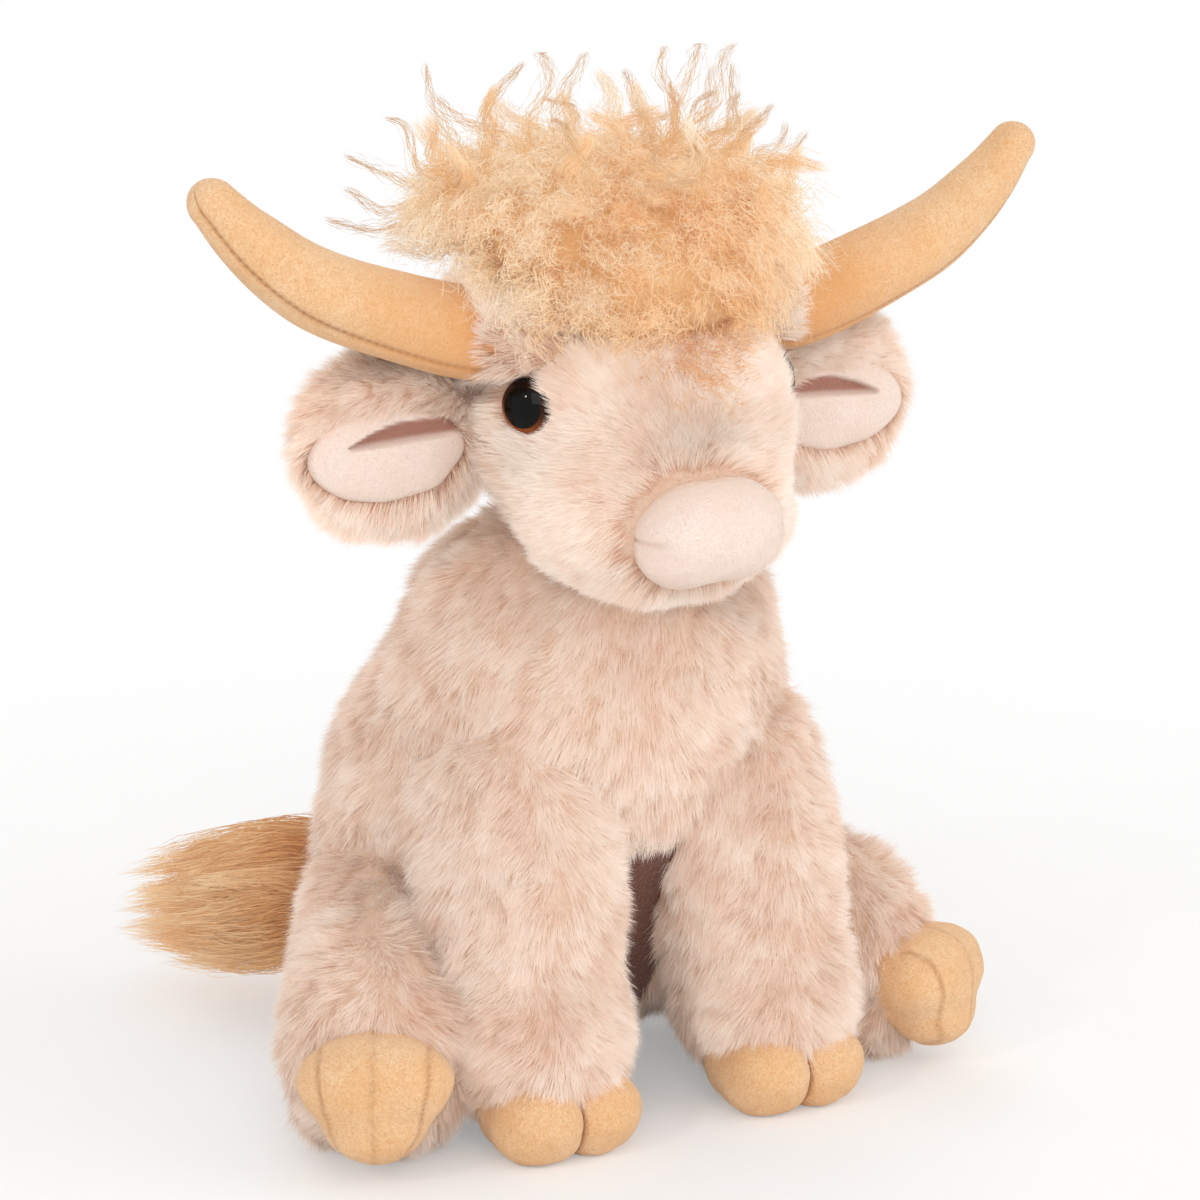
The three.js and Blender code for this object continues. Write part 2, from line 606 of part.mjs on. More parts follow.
head.add("nose_pad", formSolid(nosePadForm, 0, smallFacets).subtract(headBlocker), finishes.pink);
for (const { side, eye, washer } of eyes) {
  head.add(`eye_${sideName(side)}`, eye, finishes.eye);
  head.add(`eye_washer_${sideName(side)}`, washer, finishes.washer);
}
for (const side of [RIGHT, LEFT]) {
  const hornShell = hornSolid(side, 0).subtract(hornSolid(side, -velourWall));
  head.add(`horn_${sideName(side)}`, hornShell.subtract(headBlocker), finishes.golden);
  head.add(`horn_stuffing_${sideName(side)}`,
    hornSolid(side, -velourWall - seamGap).subtract(headBlocker), finishes.stuffing);
}
head.add("forelock", formSolid(forelockForm, 0, limbFacets).subtract(headBlocker)
  .subtract(hornSolid(RIGHT, seamGap)).subtract(hornSolid(LEFT, seamGap)), finishes.curls);

// The ears, each on its own sewn hinge
for (const side of [RIGHT, LEFT]) {
  const { flap, cup } = earForms(side);
  const ear = assembly(flap.place, head.group, neckPivot);
  const angles = sweep(earFlapLimit);
  const cleared = (piece) => clearedSwing(clearedSwing(piece, headSwingBlocker, flap.place, Z_AXIS, angles),
    hornSolid(side, swingGap), flap.place, Z_AXIS, angles);
  const flapSolid = formSolid(flap, 0, limbFacets);
  const liningInner = formSolid(cup, -seamGap - earLiningThickness, smallFacets)
    .translate([0, -earLiningThickness / 2, 0]);
  const lining = formSolid(cup, -seamGap, smallFacets).subtract(liningInner).intersect(flapSolid);
  ear.add(`ear_${sideName(side)}`, cleared(flapSolid.subtract(formSolid(cup, 0, smallFacets))), finishes.fur);
  ear.add(`ear_lining_${sideName(side)}`, cleared(lining), finishes.pink);
}

// The tail and its tassel
const tasselSizes = vec(tasselThickness, tasselLength, tasselThickness);
const tasselLobeShares = [
  { at: [0, -0.16, 0.06], half: [0.36, 0.3, 0.38] },
  { at: [0, 0.14, -0.12], half: [0.44, 0.36, 0.42] },
];
const tasselForm = form({
  sizes: tasselSizes, lobeShares: tasselLobeShares, place: tailCurve.getPoint(1), middleShare: [0, 0, 0],
  turn: new THREE.Quaternion().setFromAxisAngle(Z_AXIS, degrees(tailTurn)), pole: Y_AXIS, blend: seamBlend,
});
const tail = assembly(tailPivot);
const clearedTail = (piece) => clearedSwing(piece, bodyBlocker, tailPivot, Z_AXIS, sweep(tailLimit));
const tassel = onFloor(formSolid(tasselForm, 0, limbFacets).subtract(tailBlocker));
tail.add("tail", clearedTail(solid(tailSkin)), finishes.fur);
tail.add("tail_tassel", clearedTail(tassel), finishes.tassel);

// The origin goes to the middle of the bottom of the whole toy
const toy = new THREE.Group();
toy.add(cow);
toy.updateMatrixWorld(true);
const box = new THREE.Box3().setFromObject(toy, true);
cow.position.set(-(box.min.x + box.max.x) / 2, -(box.min.y + box.max.y) / 2, -box.min.z);

export default toy;
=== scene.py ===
import json
import logging
import math
from collections.abc import Callable
from dataclasses import dataclass, field
from enum import Enum

import bpy
import numpy as np
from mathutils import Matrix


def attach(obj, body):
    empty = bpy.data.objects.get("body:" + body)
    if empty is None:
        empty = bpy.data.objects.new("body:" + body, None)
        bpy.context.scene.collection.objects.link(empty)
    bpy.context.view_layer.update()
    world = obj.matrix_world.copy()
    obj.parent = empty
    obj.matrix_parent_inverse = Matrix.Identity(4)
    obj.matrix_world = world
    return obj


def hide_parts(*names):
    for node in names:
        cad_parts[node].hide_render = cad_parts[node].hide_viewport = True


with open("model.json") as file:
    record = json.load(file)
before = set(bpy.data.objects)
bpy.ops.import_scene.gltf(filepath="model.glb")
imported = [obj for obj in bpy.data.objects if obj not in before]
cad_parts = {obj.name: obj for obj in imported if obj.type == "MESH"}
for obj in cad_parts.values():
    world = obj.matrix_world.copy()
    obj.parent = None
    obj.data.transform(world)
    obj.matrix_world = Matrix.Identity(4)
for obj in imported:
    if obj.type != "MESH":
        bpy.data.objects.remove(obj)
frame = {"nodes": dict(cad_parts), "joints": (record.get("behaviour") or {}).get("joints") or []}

LOG = logging.getLogger("cow")
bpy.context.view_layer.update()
MM = 0.001
SKIN_FLOOR = 0.3 * MM
STRAND_FLOOR = 0.25 * MM
MAP_LOW, MAP_HIGH = 0.02, 0.98
FULL_TURN = 2 * math.pi
SECTORS = ("front", "left", "right")
WHITE = (1.0, 1.0, 1.0, 1.0)
Array = np.ndarray
Triple = tuple[float, float, float]
Colour = tuple[float, float, float, float]
Test = Callable[[Array], Array]
Flow = Callable[[Array, Array], Array]


def mm(*values: float) -> tuple[float, ...]:
    """Millimetres as metres."""
    return tuple(value * MM for value in values)


class Side(Enum):
    """The cow's own right and left, as the sign of X."""

    RIGHT = -1
    LEFT = 1

    @property
    def word(self) -> str:
        """The side's word in piece names."""
        return self.name.lower()


class Pole(Enum):
    """The axis that a form's rings stand around."""

    X = (1.0, 0.0, 0.0)
    Y = (0.0, 1.0, 0.0)
    Z = (0.0, 0.0, 1.0)


def unit(vectors: Array) -> Array:
    """Each row scaled to length 1; a row of zeros stays as it is."""
    length = np.linalg.norm(vectors, axis=-1, keepdims=True)
    return vectors / np.maximum(length, 1e-12)


def along_surface(vectors: Array, normals: Array) -> Array:
    """The share of each vector that lies in the surface with the given unit normals."""
    return vectors - normals * np.sum(vectors * normals, axis=-1, keepdims=True)


def joint_place(name: str) -> Array:
    """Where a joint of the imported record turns, in metres."""
    return np.array(next(joint["pos_m"] for joint in frame["joints"] if joint["name"] == name), float)


def waves(points: Array, scale: float, seed: int) -> Array:
    """A smooth random number from about -1 to 1 at each point: a sum of six sine waves in random directions.

    Args:
        points: places, one a row.
        scale: the rough distance from a crest to the next.
        seed: which pattern.

    Returns:
        One number a point.
    """
    draw = np.random.default_rng(seed)
    total = np.zeros(len(points))
    for _ in range(6):
        heading = unit(draw.normal(size=(1, 3)))[0] * (FULL_TURN / (scale * draw.uniform(0.7, 1.5)))
        total += np.sin(points @ heading + draw.uniform(0, FULL_TURN))
    return total / 3


def wave_vectors(points: Array, scale: float, seed: int) -> Array:
    """Three smooth random numbers a point, as one vector a row."""
    return np.stack([waves(points, scale, seed + step) for step in range(3)], axis=1)


def angles_apart(first: Array, second: float) -> Array:
    """How far angles are from another one, the short way round, in radians."""
    return np.abs((first - second + math.pi) % FULL_TURN - math.pi)


def in_sector(points: Array, axis_y: float, number: int, first: float) -> Array:
    """Which points lie in one of three equal sectors round an upright axis in the toy's middle plane.

    Args:
        points: places, one a row.
        axis_y: where the axis stands.
        number: which sector, from 0.
        first: the way that sector 0 faces, in degrees from X.

    Returns:
        One truth value a point.
    """
    third = math.radians(120)
    around = np.arctan2(points[:, 1] - axis_y, points[:, 0])
    return angles_apart(around, math.radians(first) + number * third) <= third / 2


@dataclass(frozen=True)
class Lobe:
    """One swelling of a stuffed form, as shares of the form's own sizes."""

    at: Triple
    half: Triple


@dataclass(frozen=True)
class SoftForm:
    """A soft union of ellipsoids, the shape that stuffing gives to a sewn skin.

    A point lies on the form where exp((1 - reach) * smallest half size / blend), summed over the lobes, is
    1, with reach the point's distance from the lobe's middle counted in the lobe's half sizes. Growing a
    form grows each lobe's half sizes.
    """

    sizes: Triple
    lobes: tuple[Lobe, ...]
    place: Triple
    middle: Triple
    blend: float
    side: int = 1
    turn: float = 0.0
    pole: Pole = Pole.Z

    @property
    def flipped(self) -> Array:
        """The sizes, with X turned over on the side where the form is mirrored."""
        return np.array(self.sizes) * (self.side, 1, 1)

    @property
    def turning(self) -> Array:
        """The matrix that turns the form about Z in its place."""
        cos, sin = math.cos(math.radians(self.turn)), math.sin(math.radians(self.turn))
        return np.array([[cos, -sin, 0], [sin, cos, 0], [0, 0, 1.0]])

    def placed(self, local: Array) -> Array:
        """Points of the form's own frame, in the toy's frame."""
        return local @ self.turning.T + np.array(self.place)

    def unplaced(self, points: Array) -> Array:
        """Points of the toy's frame, in the form's own frame."""
        return (points - np.array(self.place)) @ self.turning

    def at(self, shares: Triple) -> Array:
        """The place in the toy's frame that the shares of the form's sizes give."""
        return self.placed(np.array([shares]) * self.flipped)[0]

    def local_fullness(self, local: Array, grow: float) -> Array:
        """The lobes' sum at points of the form's own frame: above 1 inside, below 1 outside.

        Args:
            local: points, one a row.
            grow: how much the lobes grow.

        Returns:
            One number a point.
        """
        total = np.zeros(len(local))
        for lobe in self.lobes:
            half = np.array(lobe.half) * self.sizes + grow
            reach = np.linalg.norm((local - np.array(lobe.at) * self.flipped) / half, axis=1)
            total += np.exp(np.minimum((1 - reach) * half.min() / self.blend, 50.0))
        return total

    def depth(self, points: Array) -> Array:
        """About how deep points of the toy's frame lie inside the form; negative outside."""
        return self.blend * np.log(np.maximum(self.local_fullness(self.unplaced(points), 0.0), 1e-30))

    def reach(self, directions: Array, grow: float) -> Array:
        """The distance from the form's middle to its surface along unit directions of its own frame.

        Args:
            directions: one a row.
            grow: how much the form grows.

        Returns:
            One distance a direction.
        """
        middle = np.array(self.middle) * self.flipped
        inside = np.zeros(len(directions))
        outside = np.full(len(directions), 2.0 * np.linalg.norm(self.sizes))
        for _ in range(30):
            half_way = (inside + outside) / 2
            full = self.local_fullness(middle + directions * half_way[:, None], grow) > 1
            inside = np.where(full, half_way, inside)
            outside = np.where(full, outside, half_way)
        return inside

    def normals(self, points: Array) -> Array:
        """Unit normals that point out of the form at points of the toy's frame.

        Args:
            points: places, one a row.

        Returns:
            One normal a point.
        """
        local = self.unplaced(points)
        steps = 0.1 * MM * np.eye(3)
        slopes = [self.local_fullness(local + step, 0.0) - self.local_fullness(local - step, 0.0)
                  for step in steps]
        return -unit(np.stack(slopes, axis=1)) @ self.turning.T

    def skin(self, rings: int, around: int, grow: float = 0.0) -> Array:
        """The surface on a grid of directions, its rings crowded so that they lie evenly along a long form.

        Args:
            rings: how many rings between the poles.
            around: how many points a ring.
            grow: how far out, or in where negative, the skin lies.

        Returns:
            The points in the toy's frame, as poles and rings: row 0 is the low pole repeated, the last row
            the high pole repeated.
        """
        axis = np.array(self.pole.value)
        across = np.roll(axis, 1)
        third = np.cross(axis, across)
        spans = self.reach(np.array([axis, -axis, across, third]), grow)
        stretch = (spans[0] + spans[1]) / (spans[2] + spans[3])
        lift = np.linspace(-math.pi / 2, math.pi / 2, rings + 2)[:, None]
        swing = np.linspace(0, FULL_TURN, around, endpoint=False)[None, :]
        parts = (np.cos(lift) * np.cos(swing), np.cos(lift) * np.sin(swing),
                 stretch * np.sin(lift) + 0 * swing)
        directions = unit(sum(part[..., None] * way for part, way in zip(parts, (across, third, axis))))
        flat = directions.reshape(-1, 3)
        middle = np.array(self.middle) * self.flipped
        points = middle + flat * self.reach(flat, grow)[:, None]
        return self.placed(points).reshape(rings + 2, around, 3)


def ellipsoid(sizes: Triple, place: Triple, blend: float, pole: Pole = Pole.Z) -> SoftForm:
    """A form of one lobe, which fills the form's sizes."""
    return SoftForm(sizes, (Lobe((0, 0, 0), (0.5, 0.5, 0.5)),), place, (0, 0, 0), blend, pole=pole)


class Bench:
    """Turns arrays into finished pieces: meshes with their maps, materials and bodies."""

    @staticmethod
    def piece(name: str, points: Array, faces: Array,
              maps: dict[str, Array] | None = None) -> bpy.types.Object:
        """A mesh object from whole arrays.

        Args:
            name: the piece's name.
            points: its vertices, one a row.
            faces: triangles or quads, one a row of vertex numbers.
            maps: values from 0 to 1 for each vertex, two a row, under the name of each UV map.

        Returns:
            The object, linked to the scene.
        """
        mesh = bpy.data.meshes.new(name)
        mesh.vertices.add(len(points))
        mesh.vertices.foreach_set("co", np.ascontiguousarray(points, np.float32).ravel())
        corners = faces.shape[1]
        mesh.loops.add(faces.size)
        mesh.loops.foreach_set("vertex_index", np.ascontiguousarray(faces, np.int32).ravel())
        mesh.polygons.add(len(faces))
        mesh.polygons.foreach_set("loop_start", np.arange(0, faces.size, corners, dtype=np.int32))
        mesh.update(calc_edges=True)
        mesh.shade_smooth()
        for map_name, values in (maps or {}).items():
            layer = mesh.uv_layers.new(name=map_name)
            layer.uv.foreach_set("vector", np.ascontiguousarray(values[faces.ravel()], np.float32).ravel())
        made = bpy.data.objects.new(name, mesh)
        bpy.context.scene.collection.objects.link(made)
        return made

    @staticmethod
    def closed_skin(name: str, grid: Array, maps: dict[str, Array] | None = None) -> bpy.types.Object:
        """A closed piece from a grid of rings whose first and last rows are poles.

        Args:
            name: the piece's name.
            grid: rings, points around, and coordinates.
            maps: grids of two values from 0 to 1 under the name of each UV map.

        Returns:
            The object.
        """
        rows, around = grid.shape[:2]
        column = np.arange(around)
        after = (column + 1) % around
        row = 1 + around * np.arange(rows - 3)[:, None]
        quads = np.stack([row + column, row + after, row + around + after, row + around + column], axis=-1)
        low = np.stack([np.zeros(around, int), 1 + after, 1 + column], axis=-1)
        high_row = 1 + around * (rows - 3)
        last = np.full(around, high_row + around)
        high = np.stack([high_row + column, high_row + after, last], axis=-1)
        quads = quads.reshape(-1, 4)
        triangles = np.concatenate([quads[:, [0, 1, 2]], quads[:, [0, 2, 3]], low, high])

        def flattened(rings: Array) -> Array:
            """One row a vertex, with one vertex for each pole."""
            return np.concatenate([rings[:1, 0], rings[1:-1].reshape(-1, rings.shape[2]), rings[-1:, 0]])

        return Bench.piece(name, flattened(grid), triangles,
                           {key: flattened(values) for key, values in (maps or {}).items()})

    @staticmethod
    def fibres(name: str, points: Array, faces: Array, values: Array) -> bpy.types.Object:
        """A piece of loose fibres, with one map that its finish reads and a like one under another name.

        Real fibres are so thin that light passes on between them; these are wider, so the skin under them
        casts the shadow for both.

        Args:
            name: the piece's name.
            points: the fibres' vertices, one a row.
            faces: their triangles.
            values: the map, two values a vertex.

        Returns:
            The object.
        """
        made = Bench.piece(name, points, faces, {"pile": values, "OFBake": values})
        made.visible_shadow = False
        return made

    @staticmethod
    def finish(made: bpy.types.Object, material: bpy.types.Material, body: str, slot: str,
               stands_for: tuple[str, ...] = (), fill: float | None = None) -> None:
        """Dresses a piece and ties it to its body.

        Args:
            made: the piece.
            material: its finish.
            body: the body that carries it.
            slot: the record's material slot; not used.
            stands_for: the nodes that it replaces.
            fill: how tightly it is stuffed, from 0 to 1, or None where it isn't; not used.
        """
        made.data.materials.clear()
        made.data.materials.append(material)
        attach(made, body)
        if stands_for:
            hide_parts(*stands_for)
        LOG.info("%s: %d faces on %s", made.name, len(made.data.polygons), body)


def tone(red: int, green: int, blue: int) -> Colour:
    """A colour written as screen values from 0 to 255, as the linear values that shaders take."""
    shares = np.array([red, green, blue]) / 255
    linear = np.where(shares <= 0.04045, shares / 12.92, ((shares + 0.055) / 1.055) ** 2.4)
    return (*(float(value) for value in linear), 1.0)


class Wire:
    """A number that runs through a material's nodes; sums and products of wires add Math nodes."""

    def __init__(self, recipe: "Recipe", socket: bpy.types.NodeSocket) -> None:
        """Wraps an output socket of the recipe's tree."""
        self.recipe = recipe
        self.socket = socket

    def _math(self, operation: str, first: "Wire | float", second: "Wire | float") -> "Wire":
        """A Math node of two values."""
        return self.recipe.node("ShaderNodeMath", {"operation": operation}, {0: first, 1: second})

    def __add__(self, other: "Wire | float") -> "Wire":
        """Sum."""
        return self._math("ADD", self, other)

    def __radd__(self, other: float) -> "Wire":
        """Sum with a number in front."""
        return self._math("ADD", other, self)

    def __rsub__(self, other: float) -> "Wire":
        """Difference with a number in front."""
        return self._math("SUBTRACT", other, self)

    def __mul__(self, other: "Wire | float") -> "Wire":
        """Product."""
        return self._math("MULTIPLY", self, other)

    def __rmul__(self, other: float) -> "Wire":
        """Product with a number in front."""
        return self._math("MULTIPLY", other, self)

    def beside(self, output: int | str) -> "Wire":
        """Another output of the node that this wire leaves."""
        return Wire(self.recipe, self.socket.node.outputs[output])

    def clamped(self, low: float, high: float) -> "Wire":
        """The value mapped so that low gives 0 and high gives 1, and held there outside them."""
        return self.recipe.node("ShaderNodeMapRange", {"clamp": True},
                                {"Value": self, "From Min": low, "From Max": high})


class Recipe:
    """The nodes of a material or a world under construction."""

    def __init__(self, owner: bpy.types.Material | bpy.types.World) -> None:
        """Empties the node tree of the material or world that is given."""
        owner.use_nodes = True
        self.owner = owner
        self.tree = owner.node_tree
        self.tree.nodes.clear()

    def node(self, kind: str, settings: dict | None = None, inputs: dict | None = None,
             output: int | str = 0) -> Wire:
        """Adds a node.

        Args:
            kind: the node's type.
            settings: its properties, or the stops of a ramp, set first.
            inputs: what goes to its sockets: wires, numbers or colours, under their names or places.
            output: the socket to read.

        Returns:
            The wire from that output.
        """
        made = self.tree.nodes.new(kind)
        for key, value in (settings or {}).items():
            if key == "stops":
                self._set_stops(made.color_ramp, value)
            else:
                setattr(made, key, value)
        for key, value in (inputs or {}).items():
            if isinstance(value, Wire):
                self.tree.links.new(value.socket, made.inputs[key])
            else:
                made.inputs[key].default_value = value
        return Wire(self, made.outputs[output])

    @staticmethod
    def _set_stops(ramp: bpy.types.ColorRamp, stops: list[tuple[float, Colour]]) -> None:
        """Gives a ramp its stops.

        Args:
            ramp: a new ramp.
            stops: places from 0 to 1 with their colours.
        """
        while len(ramp.elements) < len(stops):
            ramp.elements.new(0.5)
        for element, (place, colour) in zip(ramp.elements, stops):
            element.position = place
            element.color = colour

    def object_place(self) -> Wire:
        """The point's place on the piece, in metres."""
        return self.node("ShaderNodeTexCoord", output="Object")

    def map_values(self, name: str) -> tuple[Wire, Wire]:
        """The two values of a named UV map."""
        read = self.node("ShaderNodeUVMap", {"uv_map": name})
        split = self.node("ShaderNodeSeparateXYZ", inputs={0: read})
        return split, split.beside(1)

    def noise(self, size: float, detail: float = 2.0, roughness: float = 0.5) -> Wire:
        """Cloudy noise whose clouds are about the given size in metres."""
        return self.node("ShaderNodeTexNoise", {"noise_dimensions": "3D"},
                         {"Vector": self.object_place(), "Scale": 1 / size, "Detail": detail,
                          "Roughness": roughness})

    def colours(self, amount: Wire, stops: list[tuple[float, Colour]]) -> Wire:
        """The colour that a ramp gives for an amount."""
        return self.node("ShaderNodeValToRGB", {"stops": stops}, {"Fac": amount})

    def mixed(self, amount: Wire | float, first: Wire | Colour, second: Wire | Colour,
              blend: str = "MIX") -> Wire:
        """Two colours mixed by an amount; their sockets stand at places 6 and 7, and the result at 2."""
        return self.node("ShaderNodeMix", {"data_type": "RGBA", "blend_type": blend},
                         {0: amount, 6: first, 7: second}, 2)

    def bumped(self, height: Wire, depth: float) -> Wire:
        """A normal that follows a height from 0 to 1, as deep in metres as given."""
        return self.node("ShaderNodeBump", inputs={"Height": height, "Distance": depth, "Strength": 1.0})

    def done(self, sockets: dict) -> bpy.types.Material:
        """Ends the material in one surface shader with the given sockets.

        Args:
            sockets: wires, numbers or colours under the shader's socket names.

        Returns:
            The material.
        """
        self.ended(self.node("ShaderNodeBsdfPrincipled", inputs=sockets))
        return self.owner

    def ended(self, surface: Wire, kind: str = "ShaderNodeOutputMaterial") -> None:
        """Links a shader to an output of the given kind."""
        output = self.tree.nodes.new(kind)
        self.tree.links.new(surface.socket, output.inputs["Surface"])


@dataclass(frozen=True)
class FurFinish:
    """Long pile: darker and pinker towards its roots and pale at its tips, as painted shade among strands
    that cast no shadow and painted light at their tips.
    """

    name: str
    root: Colour
    shaft: Colour
    tip: Colour
    shade: Colour
    sheen: float = 0.35

    def material(self) -> bpy.types.Material:
        """The finish as a material that reads the strands' own map: shade across, place along the strand.

        Returns:
            The material.
        """
        recipe = Recipe(bpy.data.materials.new(self.name))
        shade, along = recipe.map_values("pile")
        # painted shade and light: the ramp runs from the darker root to the pale tip, in place of the
        # strands' shadows on each other
        colour = recipe.colours(along, [(0.0, self.root), (0.45, self.shaft), (1.0, self.tip)])
        cloudy = recipe.noise(16 * MM, detail=3.0).clamped(0.42, 0.68)
        dark = ((1 - shade) * 0.55 + cloudy * 0.3).clamped(0.15, 0.95)
        colour = recipe.mixed(dark, colour, self.shade, "MULTIPLY")
        return recipe.done({"Base Color": colour, "Roughness": 0.85, "Specular IOR Level": 0.25,
                            "Sheen Weight": self.sheen, "Sheen Roughness": 0.5,
                            "Sheen Tint": tone(255, 244, 236)})


@dataclass(frozen=True)
class UndercoatFinish:
    """The dense short fibres at the pile's foot, seen between the strands."""

    name: str
    deep: Colour
    pale: Colour
    # colour of the painted shade, for a piece that has one
    hollow: Colour | None = None

    def material(self) -> bpy.types.Material:
        """The finish as a material with a matted bump, darkened with painted shade where the skin's map says
        so.

        Returns:
            The material.
        """
        recipe = Recipe(bpy.data.materials.new(self.name))
        matted = recipe.noise(1.4 * MM, detail=4.0, roughness=0.65)
        cloudy = recipe.noise(11 * MM, detail=2.0)
        colour = recipe.mixed((matted * 0.6 + cloudy * 0.5).clamped(0.3, 0.8), self.deep, self.pale)
        # painted shade: the skin's map darkens the undercoat towards that colour
        if self.hollow:
            share, _ = recipe.map_values("hollow")
            colour = recipe.mixed(share, colour, self.hollow)
        return recipe.done({"Base Color": colour, "Roughness": 0.95, "Specular IOR Level": 0.1,
                            "Sheen Weight": 0.3, "Normal": recipe.bumped(matted, 1.2 * MM)})


@dataclass(frozen=True)
class VelourFinish:
    """Short brushed pile: a speckle of nap, darker along its seams, and with painted shade in its folds and
    recesses.
    """

    name: str
    colour: Colour
    deep: Colour
    pale: Colour
    stitch: Colour
    fold: Colour
    sheen: float = 0.5

    def material(self) -> bpy.types.Material:
        """The finish as a material that reads the seam and shade map: closeness to a seam, and how much
        painted shade a fold or recess gets.

        Returns:
            The material.
        """
        recipe = Recipe(bpy.data.materials.new(self.name))
        seam, depth = recipe.map_values("trim")
        nap = recipe.noise(0.62 * MM, detail=3.0, roughness=0.7)
        rubbed = recipe.noise(1.9 * MM, detail=2.0, roughness=0.6)
        brushed = recipe.noise(12 * MM, detail=2.0, roughness=0.4)
        colour = recipe.mixed(brushed.clamped(0.35, 0.75) * 0.6, self.colour, self.pale)
        colour = recipe.mixed((nap * 0.8 + rubbed * 0.2).clamped(0.6, 0.36) * 0.75, colour, self.deep)
        colour = recipe.mixed(seam * 0.85, colour, self.stitch)
        # painted shade: folds and recesses darken towards the fold colour
        colour = recipe.mixed(depth * 0.9, colour, self.fold)
        return recipe.done({"Base Color": colour, "Roughness": 0.88, "Specular IOR Level": 0.2,
                            "Sheen Weight": self.sheen, "Sheen Roughness": 0.4,
                            "Sheen Tint": tone(255, 238, 214),
                            "Normal": recipe.bumped(nap * 0.7 + rubbed * 0.3, 0.9 * MM)})


@dataclass(frozen=True)
class PlainFinish:
    """A matt fibre, cloth or moulded plastic with a grain of its own."""

    name: str
    colour: Colour
    deep: Colour
    grain: float
    roughness: float
    depth: float

    def material(self) -> bpy.types.Material:
        """The finish as a material with its grain's bump.

        Returns:
            The material.
        """
        recipe = Recipe(bpy.data.materials.new(self.name))
        grain = recipe.noise(self.grain, detail=3.0, roughness=0.6)
        colour = recipe.mixed(grain.clamped(0.3, 0.7), self.deep, self.colour)
        return recipe.done({"Base Color": colour, "Roughness": self.roughness,
                            "Normal": recipe.bumped(grain, self.depth)})


@dataclass(frozen=True)
class EyeFinish:
    """A moulded safety eye: black pupil, a brown iris with painted light that makes it brightest low and
    outside, a black rim.
    """

    name: str
    black: Colour
    iris: Colour
    glow: Colour

    def material(self) -> bpy.types.Material:
        """The finish as a material that reads the share from the eye's middle and the painted light on the
        iris.

        Returns:
            The material.
        """
        recipe = Recipe(bpy.data.materials.new(self.name))
        share, glow = recipe.map_values("dome")
        streaks = recipe.noise(0.9 * MM, detail=3.0)
        # painted light: the iris brightens where the map puts the light that a clear dome would gather
        iris = recipe.mixed((glow * 0.9 + streaks * 0.25).clamped(0.1, 1.0), self.iris, self.glow)
        ring = share.clamped(0.68, 0.75) * share.clamped(0.97, 0.9) * (0.3 + 0.7 * glow.clamped(0.45, 0.95))
        colour = recipe.mixed(ring, self.black, iris)
        return recipe.done({"Base Color": colour, "Roughness": 0.4, "Specular IOR Level": 0.0,
                            "Coat Weight": 0.38, "Coat Roughness": 0.03, "Coat IOR": 1.42})


@dataclass(frozen=True)
class Combing:
    """Which way pile is brushed over a form: along a flow, with swirls of a given size and strength."""

    flow: Flow
    swirl: float = 0.5
    swirl_size: float = 26 * MM
    seed: int = 1

    def heading(self, points: Array, normals: Array) -> Array:
        """The unit direction in the surface that strands at the points lie along."""
        swirls = self.swirl * wave_vectors(points, self.swirl_size, self.seed)
        return unit(along_surface(unit(self.flow(points, normals)) + swirls, normals))


@dataclass(frozen=True)
class Pile:
    """The measures of a fur's strands, how they gather in tufts, and how far tufts and strands differ.

    A sway is the share or angle by which neighbouring tufts differ together, and its size is how far apart
    the crests lie.
    """

    length: float = 8.5 * MM
    width: float = 0.34 * MM
    lean: float = 58.0
    tuft_radius: float = 2.4 * MM
    tuft_strands: int = 24
    gather: float = 0.4
    untidiness: float = 12.0
    hold: float = 0.6
    lean_sway: float = 9.0
    lean_sway_size: float = 19 * MM
    stretch_sway: float = 0.12
    stretch_sway_size: float = 14 * MM
    shade_sway: float = 0.16
    shade_sway_size: float = 9 * MM
    tuft_stretch: float = 0.06
    tuft_shade: float = 0.08
    strand_shade: float = 0.2
    tip_scatter: float = 0.12
    twist: float = 30.0
    lengths: tuple[float, float] = (0.72, 1.08)
    widths: tuple[float, float] = (0.7, 1.15)
    pulls: tuple[float, float] = (0.5, 1.2)


